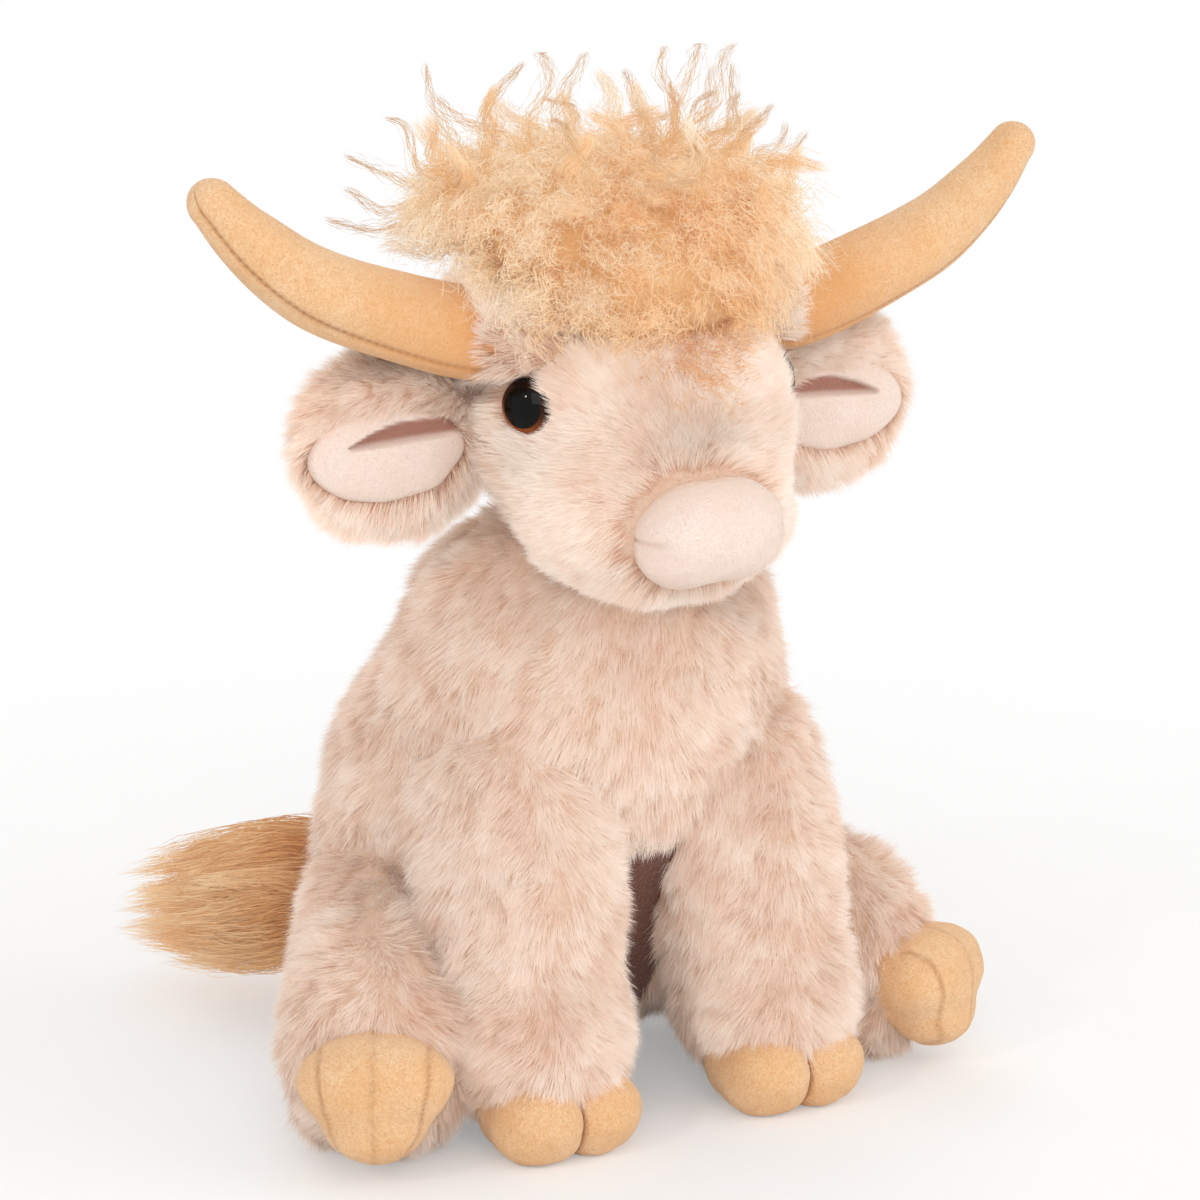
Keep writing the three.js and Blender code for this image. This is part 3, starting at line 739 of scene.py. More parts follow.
@dataclass
class Coat:
    """The fur that grows on a form: tufts of tapering strands, sampled evenly over the skin."""

    form: SoftForm
    combing: Combing
    pile: Pile
    keep: Test
    grow: float
    seed: int
    clear: Test | None = None

    def tuft_places(self, count: int) -> tuple[Array, Array]:
        """Random places, evenly over the skin, that the keep test lets stand.

        Args:
            count: how many tufts.

        Returns:
            The tufts' middles and the skin's normals there.
        """
        draw = np.random.default_rng(self.seed)
        grid = self.form.skin(90, 120, self.grow)
        grid = np.concatenate([grid, grid[:, :1]], axis=1)
        corners = [grid[:-1, :-1], grid[:-1, 1:], grid[1:, 1:], grid[1:, :-1]]
        corners = [corner.reshape(-1, 3) for corner in corners]
        area = np.linalg.norm(np.cross(corners[2] - corners[0], corners[3] - corners[1]), axis=1)
        middles = sum(corners) / 4
        area = area * self.keep(middles)
        face = draw.choice(len(area), size=int(count * 1.15), p=area / area.sum())
        across, up = draw.uniform(size=(2, len(face), 1))
        low = corners[0][face] * (1 - across) + corners[1][face] * across
        high = corners[3][face] * (1 - across) + corners[2][face] * across
        places = low * (1 - up) + high * up
        places = places[self.keep(places)][:count]
        return places, self.form.normals(places)

    def strands(self, strand_count: int) -> tuple[Array, Array, Array]:
        """The coat as long thin triangles, each a strand that tapers to its tip.

        A tuft's strands start round its middle, stand up from the skin and lie over along the combing, and
        their tips draw together by the pile's gather.

        Args:
            strand_count: about how many strands to grow.

        Returns:
            Points, triangles and the strands' map.
        """
        pile = self.pile
        draw = np.random.default_rng(self.seed + 1)
        middles, normals = self.tuft_places(strand_count // pile.tuft_strands)
        heading = self.combing.heading(middles, normals)
        tufts = len(middles)
        lean = np.radians(pile.lean + pile.lean_sway * waves(middles, pile.lean_sway_size, self.seed + 2)
                          + draw.normal(0, pile.untidiness * pile.hold, tufts))[:, None]
        stretch = (1 + pile.stretch_sway * waves(middles, pile.stretch_sway_size, self.seed + 3)
                   + draw.normal(0, pile.tuft_stretch, tufts))[:, None]
        lie = unit(normals * np.cos(lean) + heading * np.sin(lean))
        tuft_tip = middles + lie * pile.length * stretch
        each = np.repeat(np.arange(tufts), pile.tuft_strands)
        count = len(each)
        side_way = np.cross(normals, heading)
        radius = pile.tuft_radius * np.sqrt(draw.uniform(size=(count, 1)))
        angle = draw.uniform(0, FULL_TURN, (count, 1))
        root = middles[each] + radius * (np.cos(angle) * heading[each] + np.sin(angle) * side_way[each])
        jitter = np.tan(math.radians(pile.untidiness)) * draw.normal(size=(count, 3))
        way = unit(lie[each] + jitter * pile.hold)
        length = pile.length * stretch[each] * draw.uniform(*pile.lengths, (count, 1))
        tip = root + way * length
        gathered = tuft_tip[each] + pile.tip_scatter * pile.length * draw.normal(size=(count, 3))
        tip = tip + (gathered - tip) * pile.gather * draw.uniform(*pile.pulls, (count, 1))
        twist = np.radians(draw.normal(0, pile.twist, (count, 1)))
        across = unit(np.cross(way, normals[each]))
        across = across * np.cos(twist) + np.cross(way, across) * np.sin(twist)
        half = pile.width / 2 * draw.uniform(*pile.widths, (count, 1)) * across
        points = np.stack([root - half, root + half, tip], axis=1)
        shade = (0.5 + pile.shade_sway * waves(middles, pile.shade_sway_size, self.seed + 4)
                 + draw.normal(0, pile.tuft_shade, tufts))
        shade = np.clip(shade[each] + draw.normal(0, pile.strand_shade, count), MAP_LOW, MAP_HIGH)
        if self.clear:
            free = self.clear(tip) & self.clear((root + tip) / 2)
            points, shade, count = points[free], shade[free], int(free.sum())
        points[..., 2] = np.maximum(points[..., 2], STRAND_FLOOR)
        triangles = np.arange(3 * count).reshape(-1, 3)
        uv = np.stack([np.repeat(shade, 3), np.tile([MAP_LOW, MAP_LOW, MAP_HIGH], count)], axis=1)
        return points.reshape(-1, 3), triangles, uv


class Finishes:
    """Every material of the toy, each made once."""

    def __init__(self) -> None:
        """Makes the materials in the photograph's colours."""
        # painted shade: the body's fur is a darker copy of the face's, for the less light that falls on the
        # body
        self.fur = FurFinish("long_pile", root=tone(218, 180, 154), shaft=tone(238, 219, 203),
                             tip=tone(252, 244, 236), shade=tone(241, 216, 200)).material()
        self.face_fur = FurFinish("face_pile", root=tone(226, 188, 162), shaft=tone(248, 233, 219),
                                  tip=tone(255, 249, 243), shade=tone(246, 225, 211)).material()
        deep, pale = tone(227, 188, 161), tone(236, 208, 186)
        self.undercoat = UndercoatFinish("undercoat", deep, pale).material()
        # the body's undercoat gets a painted shadow, dark brown, on the belly between the front legs
        self.body_undercoat = UndercoatFinish("body_undercoat", deep, pale,
                                              hollow=tone(112, 68, 52)).material()
        # each velour's fold colour is painted shade for its folds and recesses
        self.golden = VelourFinish("golden_velour", tone(247, 203, 154), deep=tone(228, 164, 106),
                                   pale=tone(254, 226, 190), stitch=tone(176, 108, 58),
                                   fold=tone(232, 160, 94)).material()
        self.pink = VelourFinish("pink_velour", tone(251, 230, 217), deep=tone(243, 215, 201),
                                 pale=tone(255, 241, 232), stitch=tone(206, 160, 136),
                                 fold=tone(158, 96, 78)).material()
        self.stuffing = PlainFinish("polyester_fibre", tone(246, 245, 241), tone(226, 223, 216),
                                    grain=2.5 * MM, roughness=1.0, depth=1.5 * MM).material()
        self.pouch = PlainFinish("pellet_bag_cloth", tone(221, 214, 202), tone(196, 188, 174),
                                 grain=3.0 * MM, roughness=0.9, depth=1.2 * MM).material()
        self.curls = FurFinish("mohair_curls", root=tone(230, 186, 136), shaft=tone(245, 222, 188),
                               tip=tone(252, 240, 220), shade=tone(249, 209, 150)).material()
        self.wisps = FurFinish("mohair_wisps", root=tone(234, 192, 142), shaft=tone(236, 205, 164),
                               tip=tone(212, 180, 144), shade=tone(241, 221, 190)).material()
        # darker than the curls: partly the fringe's own golden brown, partly painted shade under the cloud of
        # curls
        self.fringe = FurFinish("mohair_fringe", root=tone(210, 156, 110), shaft=tone(230, 184, 138),
                                tip=tone(243, 210, 170), shade=tone(240, 204, 164)).material()
        self.curl_core = UndercoatFinish("curl_core", tone(226, 170, 114), tone(240, 198, 146)).material()
        self.tassel = FurFinish("tassel_hair", root=tone(214, 158, 106), shaft=tone(238, 200, 152),
                                tip=tone(247, 224, 188), shade=tone(236, 197, 154)).material()
        self.tassel_core = UndercoatFinish("tassel_core", tone(196, 138, 88), tone(220, 166, 114)).material()
        # the iris's brighter colour is painted light
        self.eye = EyeFinish("safety_eye", black=tone(8, 6, 5), iris=tone(46, 24, 14),
                             glow=tone(150, 80, 38)).material()
        self.washer = PlainFinish("washer_plastic", tone(234, 234, 229), tone(222, 222, 216),
                                  grain=1.0 * MM, roughness=0.4, depth=0.05 * MM).material()


@dataclass
class Torso:
    """The pear-shaped body that sits on its wide end, with the stuffed neck on top of it."""

    sizes: Triple = mm(132, 124, 164)
    neck_seat: Triple = (0, -0.16, 0.91)
    neck_radius: float = 27 * MM
    undercoat_depth: float = 3.7 * MM
    root_depth: float = 5.4 * MM
    under_legs: float = 12 * MM
    under_head: float = 17 * MM
    nape_depth: float = 9 * MM
    foot_gap: float = 1.5 * MM
    # the band between the front legs where shade is painted on the undercoat and no fur grows
    hollow_half: float = 14 * MM
    hollow_top: float = 79 * MM
    hollow_front: float = 16 * MM
    strands: int = 108000
    neck_strands: int = 9000
    form: SoftForm = field(init=False)

    def __post_init__(self) -> None:
        """Places the form so that its neck seat lies at the neck's joint."""
        place = joint_place("neck_nod") - np.array(self.neck_seat) * self.sizes
        lobes = (Lobe((0, -0.14, 0.91), (0.27, 0.27, 0.11)), Lobe((0, -0.16, 0.73), (0.39, 0.36, 0.25)),
                 Lobe((0, 0.02, 0.56), (0.46, 0.43, 0.28)), Lobe((0, 0.11, 0.345), (0.5, 0.42, 0.345)))
        self.form = SoftForm(self.sizes, lobes, tuple(place), (0, 0, 0.5), 9 * MM)

    @staticmethod
    def flow(points: Array, normals: Array) -> Array:
        """Down the body, and a little away from the chest's middle line."""
        sideways = np.tanh(points[:, :1] / (18 * MM)) * (1, 0, 0)
        return np.array([0, 0, -1.0]) + 0.35 * sideways + 0.15 * normals * (1, 1, 0)

    def hollow(self, points: Array) -> Array:
        """How far points lie in the band of painted shade on the belly between the front legs, from 0 to 1.
        """
        across = np.clip((self.hollow_half - np.abs(points[:, 0])) / (2 * MM) + 0.5, 0, 1)
        under = np.clip((self.hollow_top - points[:, 2]) / (4 * MM) + 0.5, 0, 1)
        return across * under * (points[:, 1] < -self.hollow_front)

    def build(self, finishes: Finishes, neighbours: list[tuple[SoftForm, float]]) -> None:
        """Makes the undercoat, the neck, and the coat in three sectors.

        Args:
            finishes: the toy's materials.
            neighbours: the forms that cover parts of the body, each with how deep in it fur still grows.
        """
        grid = self.form.skin(96, 140, -self.undercoat_depth)
        # the undercoat's map carries the belly's painted shade
        hollow = np.stack([self.hollow(grid.reshape(-1, 3)).reshape(grid.shape[:-1])] * 2, axis=-1)
        skin = Bench.closed_skin("body_undercoat", grid, {"hollow": hollow})
        Bench.finish(skin, finishes.body_undercoat, "torso", "fur", ("body_cover",), fill=0.9)
        self.build_neck(finishes)
        for number, name in enumerate(SECTORS):

            def keep(points: Array, number: int = number) -> Array:
                """The points of this sector outside the band of painted shade that no neighbour buries.

                Args:
                    points: places, one a row.
                    number: the sector.

                Returns:
                    One truth value a point.
                """
                kept = in_sector(points, self.form.place[1], number, first=-115)
                kept &= (points[:, 2] > self.foot_gap) & (self.hollow(points) < 0.5)
                for neighbour, room in neighbours:
                    kept &= neighbour.depth(points) < room
                return kept

            coat = Coat(self.form, Combing(self.flow, seed=11), Pile(), keep, -self.root_depth, 100 + number)
            made = Bench.fibres(f"body_fur_{name}", *coat.strands(self.strands))
            Bench.finish(made, finishes.fur, "torso", "fur", ("body_cover",))

    def build_neck(self, finishes: Finishes) -> None:
        """Makes the skin of the neck's ball, and its fur, which shows at the nape when the head nods.

        Args:
            finishes: the toy's materials.
        """
        ball = ellipsoid((2 * self.neck_radius,) * 3, tuple(joint_place("neck_nod")), 9 * MM)
        skin = Bench.closed_skin("neck_undercoat", ball.skin(30, 44))
        Bench.finish(skin, finishes.undercoat, "neck", "fur", ("neck_stuffing",), fill=0.9)
        coat = Coat(ball, Combing(self.flow, seed=13), Pile(length=7.5 * MM, width=0.32 * MM),
                    lambda points: self.form.depth(points) < self.nape_depth, 0.0, 131)
        made = Bench.fibres("neck_fur", *coat.strands(self.neck_strands))
        Bench.finish(made, finishes.fur, "neck", "fur", ("neck_stuffing",))


@dataclass
class Leg:
    """A leg of fur over stuffing, and the form that it fills."""

    side: Side
    torso: Torso
    undercoat_depth: float = 3.9 * MM
    root_depth: float = 5.2 * MM
    lap: float = 3 * MM
    foot_gap: float = 1.0 * MM
    form: SoftForm = field(init=False)
    kind: str = field(init=False, default="leg")

    @property
    def name(self) -> str:
        """The name that the leg's body and pieces share."""
        return f"{self.kind}_{self.side.word}"

    def seat(self, shares: Triple) -> Triple:
        """A place given in shares of the body's sizes, mirrored to the leg's side."""
        mirrored = (self.side.value * shares[0], shares[1], shares[2])
        return tuple(start + share * size for start, share, size
                     in zip(self.torso.form.place, mirrored, self.torso.sizes))

    def flow(self, points: Array, normals: Array) -> Array:
        """Down the leg, and away from the seam along its front."""
        local = self.form.unplaced(points)
        sideways = np.tanh(local[:, :1] / (9 * MM)) * (1, 0, 0)
        return np.array([0, 0, -1.0]) + 0.55 * sideways @ self.form.turning.T

    def build(self, finishes: Finishes) -> None:
        """Makes the undercoat, the coat and the two toes.

        Args:
            finishes: the toy's materials.
        """
        grid = self.form.skin(50, 64, -self.undercoat_depth)
        grid[..., 2] = np.maximum(grid[..., 2], SKIN_FLOOR)
        skin = Bench.closed_skin(f"{self.name}_undercoat", grid)
        Bench.finish(skin, finishes.undercoat, self.name, "fur", (f"{self.name}_cover",), fill=0.9)
        body = self.torso.form
        coat = Coat(self.form, Combing(self.flow, seed=31 + self.side.value), Pile(),
                    lambda points: (body.depth(points) < self.lap) & (points[:, 2] > self.foot_gap),
                    -self.root_depth, 200 + self.side.value)
        made = Bench.fibres(f"{self.name}_fur", *coat.strands(self.strands))
        Bench.finish(made, finishes.fur, self.name, "fur", (f"{self.name}_cover",))
        for toe_side in Side:
            Toe(self, toe_side).build(finishes)


@dataclass
class ForeLeg(Leg):
    """A front leg that stands on the floor and leans forwards."""

    sizes: Triple = mm(59, 59, 128)
    toe_sizes: Triple = mm(25, 36, 23)
    toe_seat: Triple = (0, -0.29, 0.085)
    fused_toes: bool = False
    strands: int = 94000

    def __post_init__(self) -> None:
        """Places the form beside the chest."""
        self.kind = "fore_leg"
        lobes = (Lobe((-0.06, 0.24, 0.74), (0.46, 0.48, 0.22)), Lobe((-0.02, 0.06, 0.5), (0.48, 0.48, 0.26)),
                 Lobe((0.02, -0.12, 0.22), (0.45, 0.47, 0.2)))
        self.form = SoftForm(self.sizes, lobes, self.seat((0.272, -0.34, 0)), (0, 0, 0.5), 9 * MM,
                             self.side.value)


@dataclass
class HindLeg(Leg):
    """A hind leg that lies on the floor and points forwards and outwards."""

    sizes: Triple = mm(49, 104, 84)
    toe_out: float = 30.0
    toe_sizes: Triple = mm(23.5, 36, 35)
    toe_seat: Triple = (0, -0.67, 0.28)
    fused_toes: bool = True
    strands: int = 74000

    def __post_init__(self) -> None:
        """Places the form beside the rump."""
        self.kind = "hind_leg"
        lobes = (Lobe((0, 0, 0.49), (0.52, 0.33, 0.46)), Lobe((0, -0.3, 0.36), (0.48, 0.27, 0.33)),
                 Lobe((0, -0.5, 0.31), (0.45, 0.18, 0.3)))
        self.form = SoftForm(self.sizes, lobes, self.seat((0.395, 0.05, 0)), (0, -0.25, 0.4), 9 * MM,
                             self.side.value, self.side.value * self.toe_out, Pole.Y)

    def flow(self, points: Array, normals: Array) -> Array:
        """Down, away from the seam along the leg, and a little towards the foot."""
        local = self.form.unplaced(points)
        sideways = np.tanh(local[:, :1] / (12 * MM)) * (0.6, 0, 0)
        return np.array([0, 0, -0.8]) + (sideways + (0, -0.15, 0)) @ self.form.turning.T


@dataclass
class Head:
    """The round head with its muzzle, which turns and nods on the neck."""

    sizes: Triple = mm(94, 98, 90)
    lift: float = 45 * MM
    forward: float = 14 * MM
    undercoat_depth: float = 6.5 * MM
    temple_depth: float = 4 * MM
    temple_lap: float = 1 * MM
    temple_shares: tuple[tuple[float, float], ...] = ((0.4, 0.24), (0.33, 0.19))
    face_strands: int = 150000
    crown_strands: int = 62000
    temple_strands: int = 15000
    form: SoftForm = field(init=False)
    temples: tuple[SoftForm, ...] = field(init=False)

    def __post_init__(self) -> None:
        """Places the form over the neck's joint, and the two full temples that lap over the horns' roots."""
        place = joint_place("neck_nod") + (0, -self.forward, self.lift)
        lobes = (Lobe((0, 0.04, 0.01), (0.49, 0.43, 0.42)), Lobe((0, -0.1, 0.02), (0.45, 0.39, 0.36)),
                 Lobe((0, -0.21, -0.29), (0.43, 0.3, 0.285)))
        self.form = SoftForm(self.sizes, lobes, tuple(place), (0, -0.08, -0.04), 5 * MM)
        self.temples = tuple(SoftForm(self.sizes, (Lobe((out, -0.075, 0.3), (half, 0.205, 0.205)),),
                                      tuple(place), (out, -0.075, 0.3), 5 * MM, side.value)
                             for side, (out, half) in zip(Side, self.temple_shares))

    def flow(self, points: Array, normals: Array) -> Array:
        """Away from the nose over the face, and down over the back of the head."""
        nose = self.form.at((0, -0.5, -0.2))
        back = np.clip((points[:, 1:2] - self.form.place[1]) / (30 * MM), 0, 1)
        return unit(points - nose) * (1 - back) + back * np.array([0, 0.2, -1.0])

    def build(self, finishes: Finishes, keep: Test, clear: Test) -> None:
        """Makes the undercoat and the coat, the face apart from the back of the head.

        Args:
            finishes: the toy's materials.
            keep: which places nothing else on the head covers.
            clear: which points a strand may reach without hiding the nose, an eye or a horn.
        """
        skin = Bench.closed_skin("head_undercoat", self.form.skin(70, 96, -self.undercoat_depth))
        Bench.finish(skin, finishes.undercoat, "head", "fur", ("head_cover",), fill=0.9)
        middle = self.form.at((0, -0.1, 0))[1]
        short = Pile(length=7.0 * MM, width=0.28 * MM, tuft_radius=2.0 * MM)
        parts = (("face", self.face_strands, short, lambda points: keep(points) & (points[:, 1] <= middle)),
                 ("crown", self.crown_strands, Pile(), lambda points: keep(points) & (points[:, 1] > middle)))
        for number, (name, strands, pile, kept) in enumerate(parts):
            coat = Coat(self.form, Combing(self.flow, swirl=0.35, seed=51), pile, kept,
                        -self.undercoat_depth, 300 + number, clear)
            made = Bench.fibres(f"head_fur_{name}", *coat.strands(strands))
            Bench.finish(made, finishes.face_fur, "head", "fur", ("head_cover",))
        for side, temple in zip(Side, self.temples):
            skin = Bench.closed_skin(f"temple_{side.word}_undercoat", temple.skin(30, 40, -self.temple_depth))
            Bench.finish(skin, finishes.undercoat, "head", "fur", ("head_cover",), fill=0.9)
            coat = Coat(temple, Combing(self.flow, swirl=0.3, seed=54),
                        Pile(length=7.5 * MM, width=0.28 * MM, tuft_radius=1.6 * MM, lean=50),
                        lambda points: self.form.depth(points) < self.temple_lap,
                        -self.temple_depth, 310 + side.value, clear)
            made = Bench.fibres(f"temple_{side.word}_fur", *coat.strands(self.temple_strands))
            Bench.finish(made, finishes.face_fur, "head", "fur", ("head_cover",))


def knotted_curve(knots: Array, count: int) -> Array:
    """A smooth curve through knots, evenly divided: a Catmull-Rom spline whose knots are as far apart as the
    square roots of their distances.

    Args:
        knots: the points that it passes, one a row.
        count: how many points to give back.

    Returns:
        Points along the curve, the same distance apart.
    """
    ends = np.concatenate([[2 * knots[0] - knots[1]], knots, [2 * knots[-1] - knots[-2]]])
    gaps = np.linalg.norm(np.diff(ends, axis=0), axis=1) ** 0.5
    share = np.linspace(0, 1, 40)[:, None]
    spans = []
    for step in range(len(knots) - 1):
        before, start, end, after = ends[step:step + 4]
        first, gap, last = gaps[step:step + 3]
        leave = ((start - before) / first - (end - before) / (first + gap) + (end - start) / gap) * gap
        arrive = ((end - start) / gap - (after - start) / (gap + last) + (after - end) / last) * gap
        spans.append((2 * share**3 - 3 * share**2 + 1) * start + (share**3 - 2 * share**2 + share) * leave
                     + (-2 * share**3 + 3 * share**2) * end + (share**3 - share**2) * arrive)
    fine = np.concatenate(spans)
    length = np.concatenate([[0], np.cumsum(np.linalg.norm(np.diff(fine, axis=0), axis=1))])
    wanted = np.linspace(0, length[-1], count)
    return np.stack([np.interp(wanted, length, fine[:, axis]) for axis in range(3)], axis=1)


def swept_skin(path: Array, radii: Array, across: Array, around: int,
               relief: Callable[[Array, Array], Array]) -> Array:
    """A tube of changing radius along a path that lies in a plane, closed by a round dome at each end.

    A point at a share of the path and an angle lies at the path's point, plus the radius less the relief
    times cos(angle) across the plane and sin(angle) in it.

    Args:
        path: points along the middle.
        radii: the radius at each.
        across: the unit normal of the path's plane.
        around: points a ring.
        relief: how deep the surface is drawn in, for shares of the path and angles.

    Returns:
        Rings from pole to pole.
    """
    tangent = unit(np.gradient(path, axis=0))
    inward = np.cross(tangent, across)
    lift = np.linspace(0, math.pi / 2, 9)[1:-1]
    start = path[0] - tangent[0] * radii[0] * np.sin(lift[::-1, None])
    end = path[-1] + tangent[-1] * radii[-1] * np.sin(lift[:, None])
    middle = np.concatenate([start, path, end])
    radius = np.concatenate([radii[0] * np.cos(lift[::-1]), radii, radii[-1] * np.cos(lift)])
    first, last = (np.repeat(edge[None], len(lift), 0) for edge in (inward[0], inward[-1]))
    plane = np.concatenate([first, inward, last])
    share = np.linspace(0, 1, len(middle))[:, None]
    angle = np.linspace(0, FULL_TURN, around, endpoint=False)[None, :]
    wide = radius[:, None] - relief(share, angle) * np.minimum(radius / radii.max() * 1.5, 1)[:, None]
    rings = (middle[:, None] + (wide * np.cos(angle))[..., None] * across
             + (wide * np.sin(angle))[..., None] * plane[:, None])
    poles = [path[0] - tangent[0] * radii[0], path[-1] + tangent[-1] * radii[-1]]
    return np.concatenate([np.full((1, around, 3), poles[0]), rings, np.full((1, around, 3), poles[1])])


def valley(apart: Array, width: float) -> Array:
    """A groove's depth share at a distance from its middle: 1 there, and fading over its width."""
    return np.exp(-((apart / width) ** 2))


@dataclass
class Horn:
    """A velour horn of two panels that sweeps out and up from the side of the head."""

    side: Side
    head: Head
    span: float = 72 * MM
    rise: float = 38 * MM
    root_radius: float = 13 * MM
    tip_radius: float = 6 * MM
    sink: float = 12 * MM
    seam_depth: float = 0.7 * MM
    seam_angles: tuple[float, float] = (-0.84, 2.3)
    seam_width: float = 0.07
    stitches: float = 46.0

    def path(self, count: int) -> Array:
        """Points along the horn's middle.

        Args:
            count: how many.

        Returns:
            One point a row.
        """
        seat = self.head.form.at((self.side.value * 0.53, -0.07, 0.29))
        shares = ((0, 0), (0.32, 0.17), (0.64, 0.42), (0.88, 0.76), (1, 1))
        knots = [seat - (self.side.value * self.sink, 0, 0)]
        knots += [seat + (self.side.value * out * self.span, 0, up * self.rise) for out, up in shares]
        return knotted_curve(np.array(knots), count)

    def apart(self, points: Array) -> Array:
        """How far points lie from the bare part of the horn's middle line, near its root."""
        return np.linalg.norm(points[:, None] - self.path(60)[None, 12:34], axis=2).min(axis=1)

    def radius(self, share: Array) -> Array:
        """The horn's radius along its length: stout at the root, slowly thinner, blunt at the tip."""
        mix = np.interp(share, np.linspace(0, 1, 6), (1, 0.86, 0.76, 0.66, 0.4, 0))
        return self.tip_radius + (self.root_radius - self.tip_radius) * mix

    def seams(self, share: Array, angle: Array) -> Array:
        """Closeness to the two stitched seams, for shares of the length and angles from the front.

        Args:
            share: shares of the horn's length.
            angle: angles round it, in radians.

        Returns:
            Numbers from 0 to about 1.
        """
        if self.side is Side.LEFT:
            angle = math.pi - angle
        pulled = 0.8 + 0.2 * np.sin(self.stitches * FULL_TURN * share)
        return sum(valley(angles_apart(angle, seam), self.seam_width) for seam in self.seam_angles) * pulled

    def relief(self, share: Array, angle: Array) -> Array:
        """The seams' grooves, and soft unevenness of the stuffing."""
        uneven = 0.25 * MM * np.sin(9 * share + 2 * angle) * np.sin(3 * angle + 5 * share)
        return uneven + self.seam_depth * self.seams(share, angle)

    def build(self, finishes: Finishes) -> None:
        """Makes the horn's skin, its radius averaged along its length so that it has no kinks.

        Args:
            finishes: the toy's materials.
        """
        steps, averaged = 150, 15
        rough = self.radius(np.linspace(-0.02, 1.02, steps + averaged - 1))
        radii = np.convolve(rough, np.ones(averaged) / averaged, "valid")
        across = np.array([0.0, float(self.side.value), 0.0])
        grid = swept_skin(self.path(steps), radii, across, 96, self.relief)
        share = np.linspace(0, 1, len(grid))[:, None]
        angle = np.linspace(0, FULL_TURN, grid.shape[1], endpoint=False)[None, :]
        # painted shade: towards the root, where the horn meets the head, the velour darkens to the fold
        # colour
        root = np.clip(1.35 - share / 0.42, 0, 1) * 0.85 + 0 * angle
        trim = np.stack([np.clip(self.seams(share, angle), 0, 1), root], axis=-1)
        made = Bench.closed_skin(f"horn_{self.side.word}_velour", grid, {"trim": trim})
        Bench.finish(made, finishes.golden, "head", "golden_velour", (f"horn_{self.side.word}",), fill=1.0)


@dataclass
class Toe:
    """One half of a cloven foot: a plump velour lobe, flat against the foot's other half."""

    leg: Leg
    toe_side: Side
    seam_depth: float = 0.6 * MM
    stitch: float = 1.5 * MM
    spread: float = 0.4
    forward: float = 2.2 * MM
    crease: float = 0.35 * MM
    blend: float = 2.0 * MM

    def soft_form(self) -> tuple[SoftForm, float]:
        """The toe's form on the foot.

        Returns:
            The form, and how far the foot's middle plane lies from the form's own.
        """
        leg, side = self.leg, self.toe_side.value
        foot = leg.form.at(leg.toe_seat)
        wide, deep, high = leg.toe_sizes
        if leg.fused_toes:
            lobes = (Lobe((0, -0.12, 0.13), (0.47, 0.36, 0.35)), Lobe((0, -0.12, -0.2), (0.3, 0.34, 0.29)),
                     Lobe((0, 0.2, 0.08), (0.4, 0.3, 0.38)))
            return SoftForm((1.84 * wide, 0.93 * deep, high), lobes, tuple(foot), (0.22, 0, 0),
                            self.blend, side, leg.form.turn, Pole.Y), 0.0
        shift = np.array([side * wide * self.spread, -self.forward, 0]) @ leg.form.turning.T
        lobes = (Lobe((0, -0.12, 0), (0.46, 0.36, 0.46)), Lobe((0, 0.2, 0.04), (0.42, 0.3, 0.42)),
                 Lobe((-0.2, -0.1, 0), (0.34, 0.36, 0.43)), Lobe((0, -0.2, 0.12), (0.28, 0.26, 0.3)))
        return SoftForm((wide, 0.86 * deep, high), lobes, tuple(foot + shift), (0, 0, 0),
                        self.blend, side, leg.form.turn, Pole.Y), self.spread * wide

    def build(self, finishes: Finishes) -> None:
        """Makes the toe's skin with its stitched side seam, where the foot has one.

        Args:
            finishes: the toy's materials.
        """
        form, offset = self.soft_form()
        side, fused = self.toe_side.value, self.leg.fused_toes
        firm = 0.4 if fused else 1
        grid = form.skin(48, 76)
        flat = grid.reshape(-1, 3)
        local = form.unplaced(flat)
        out = form.normals(flat) @ form.turning
        wide, _, high = form.sizes
        panel = 0.33 * wide * np.interp(local[:, 2] / high, (-0.5, -0.2, 0.2), (0.42, 0.8, 1))
        seam = valley(side * local[:, 0] / panel - 1, 0.05) * (local[:, 1] < 0) * float(fused)
        seam = seam * (0.6 + 0.2 * np.sin(local[:, 2] * FULL_TURN / self.stitch))
        uneven = 0.1 * MM * waves(local, 5 * MM, 7) + 0.25 * MM * waves(local, 12 * MM, 8)
        local = local - out * (firm * self.seam_depth * seam + uneven)[:, None]
        lap = 0.6 * MM if fused else -0.2 * MM
        room = offset + lap + side * local[:, 0]
        crease = self.crease * firm
        room = crease * np.logaddexp(0, room / crease)
        local[:, 0] = side * (room - offset - lap)
        points = form.placed(local)
        points[:, 2] = np.maximum(points[:, 2], SKIN_FLOOR)
        trim = np.stack([np.maximum(seam, 0.4 * valley(room - max(lap, 0), 0.5 * MM)), 0 * seam], axis=-1)
        name = f"{self.leg.name}_{self.toe_side.word}_toe"
        made = Bench.closed_skin(f"{name}_velour", points.reshape(grid.shape),
                                 {"trim": trim.reshape(*grid.shape[:2], 2)})
        Bench.finish(made, finishes.golden, self.leg.name, "golden_velour", (name,), fill=1.0)


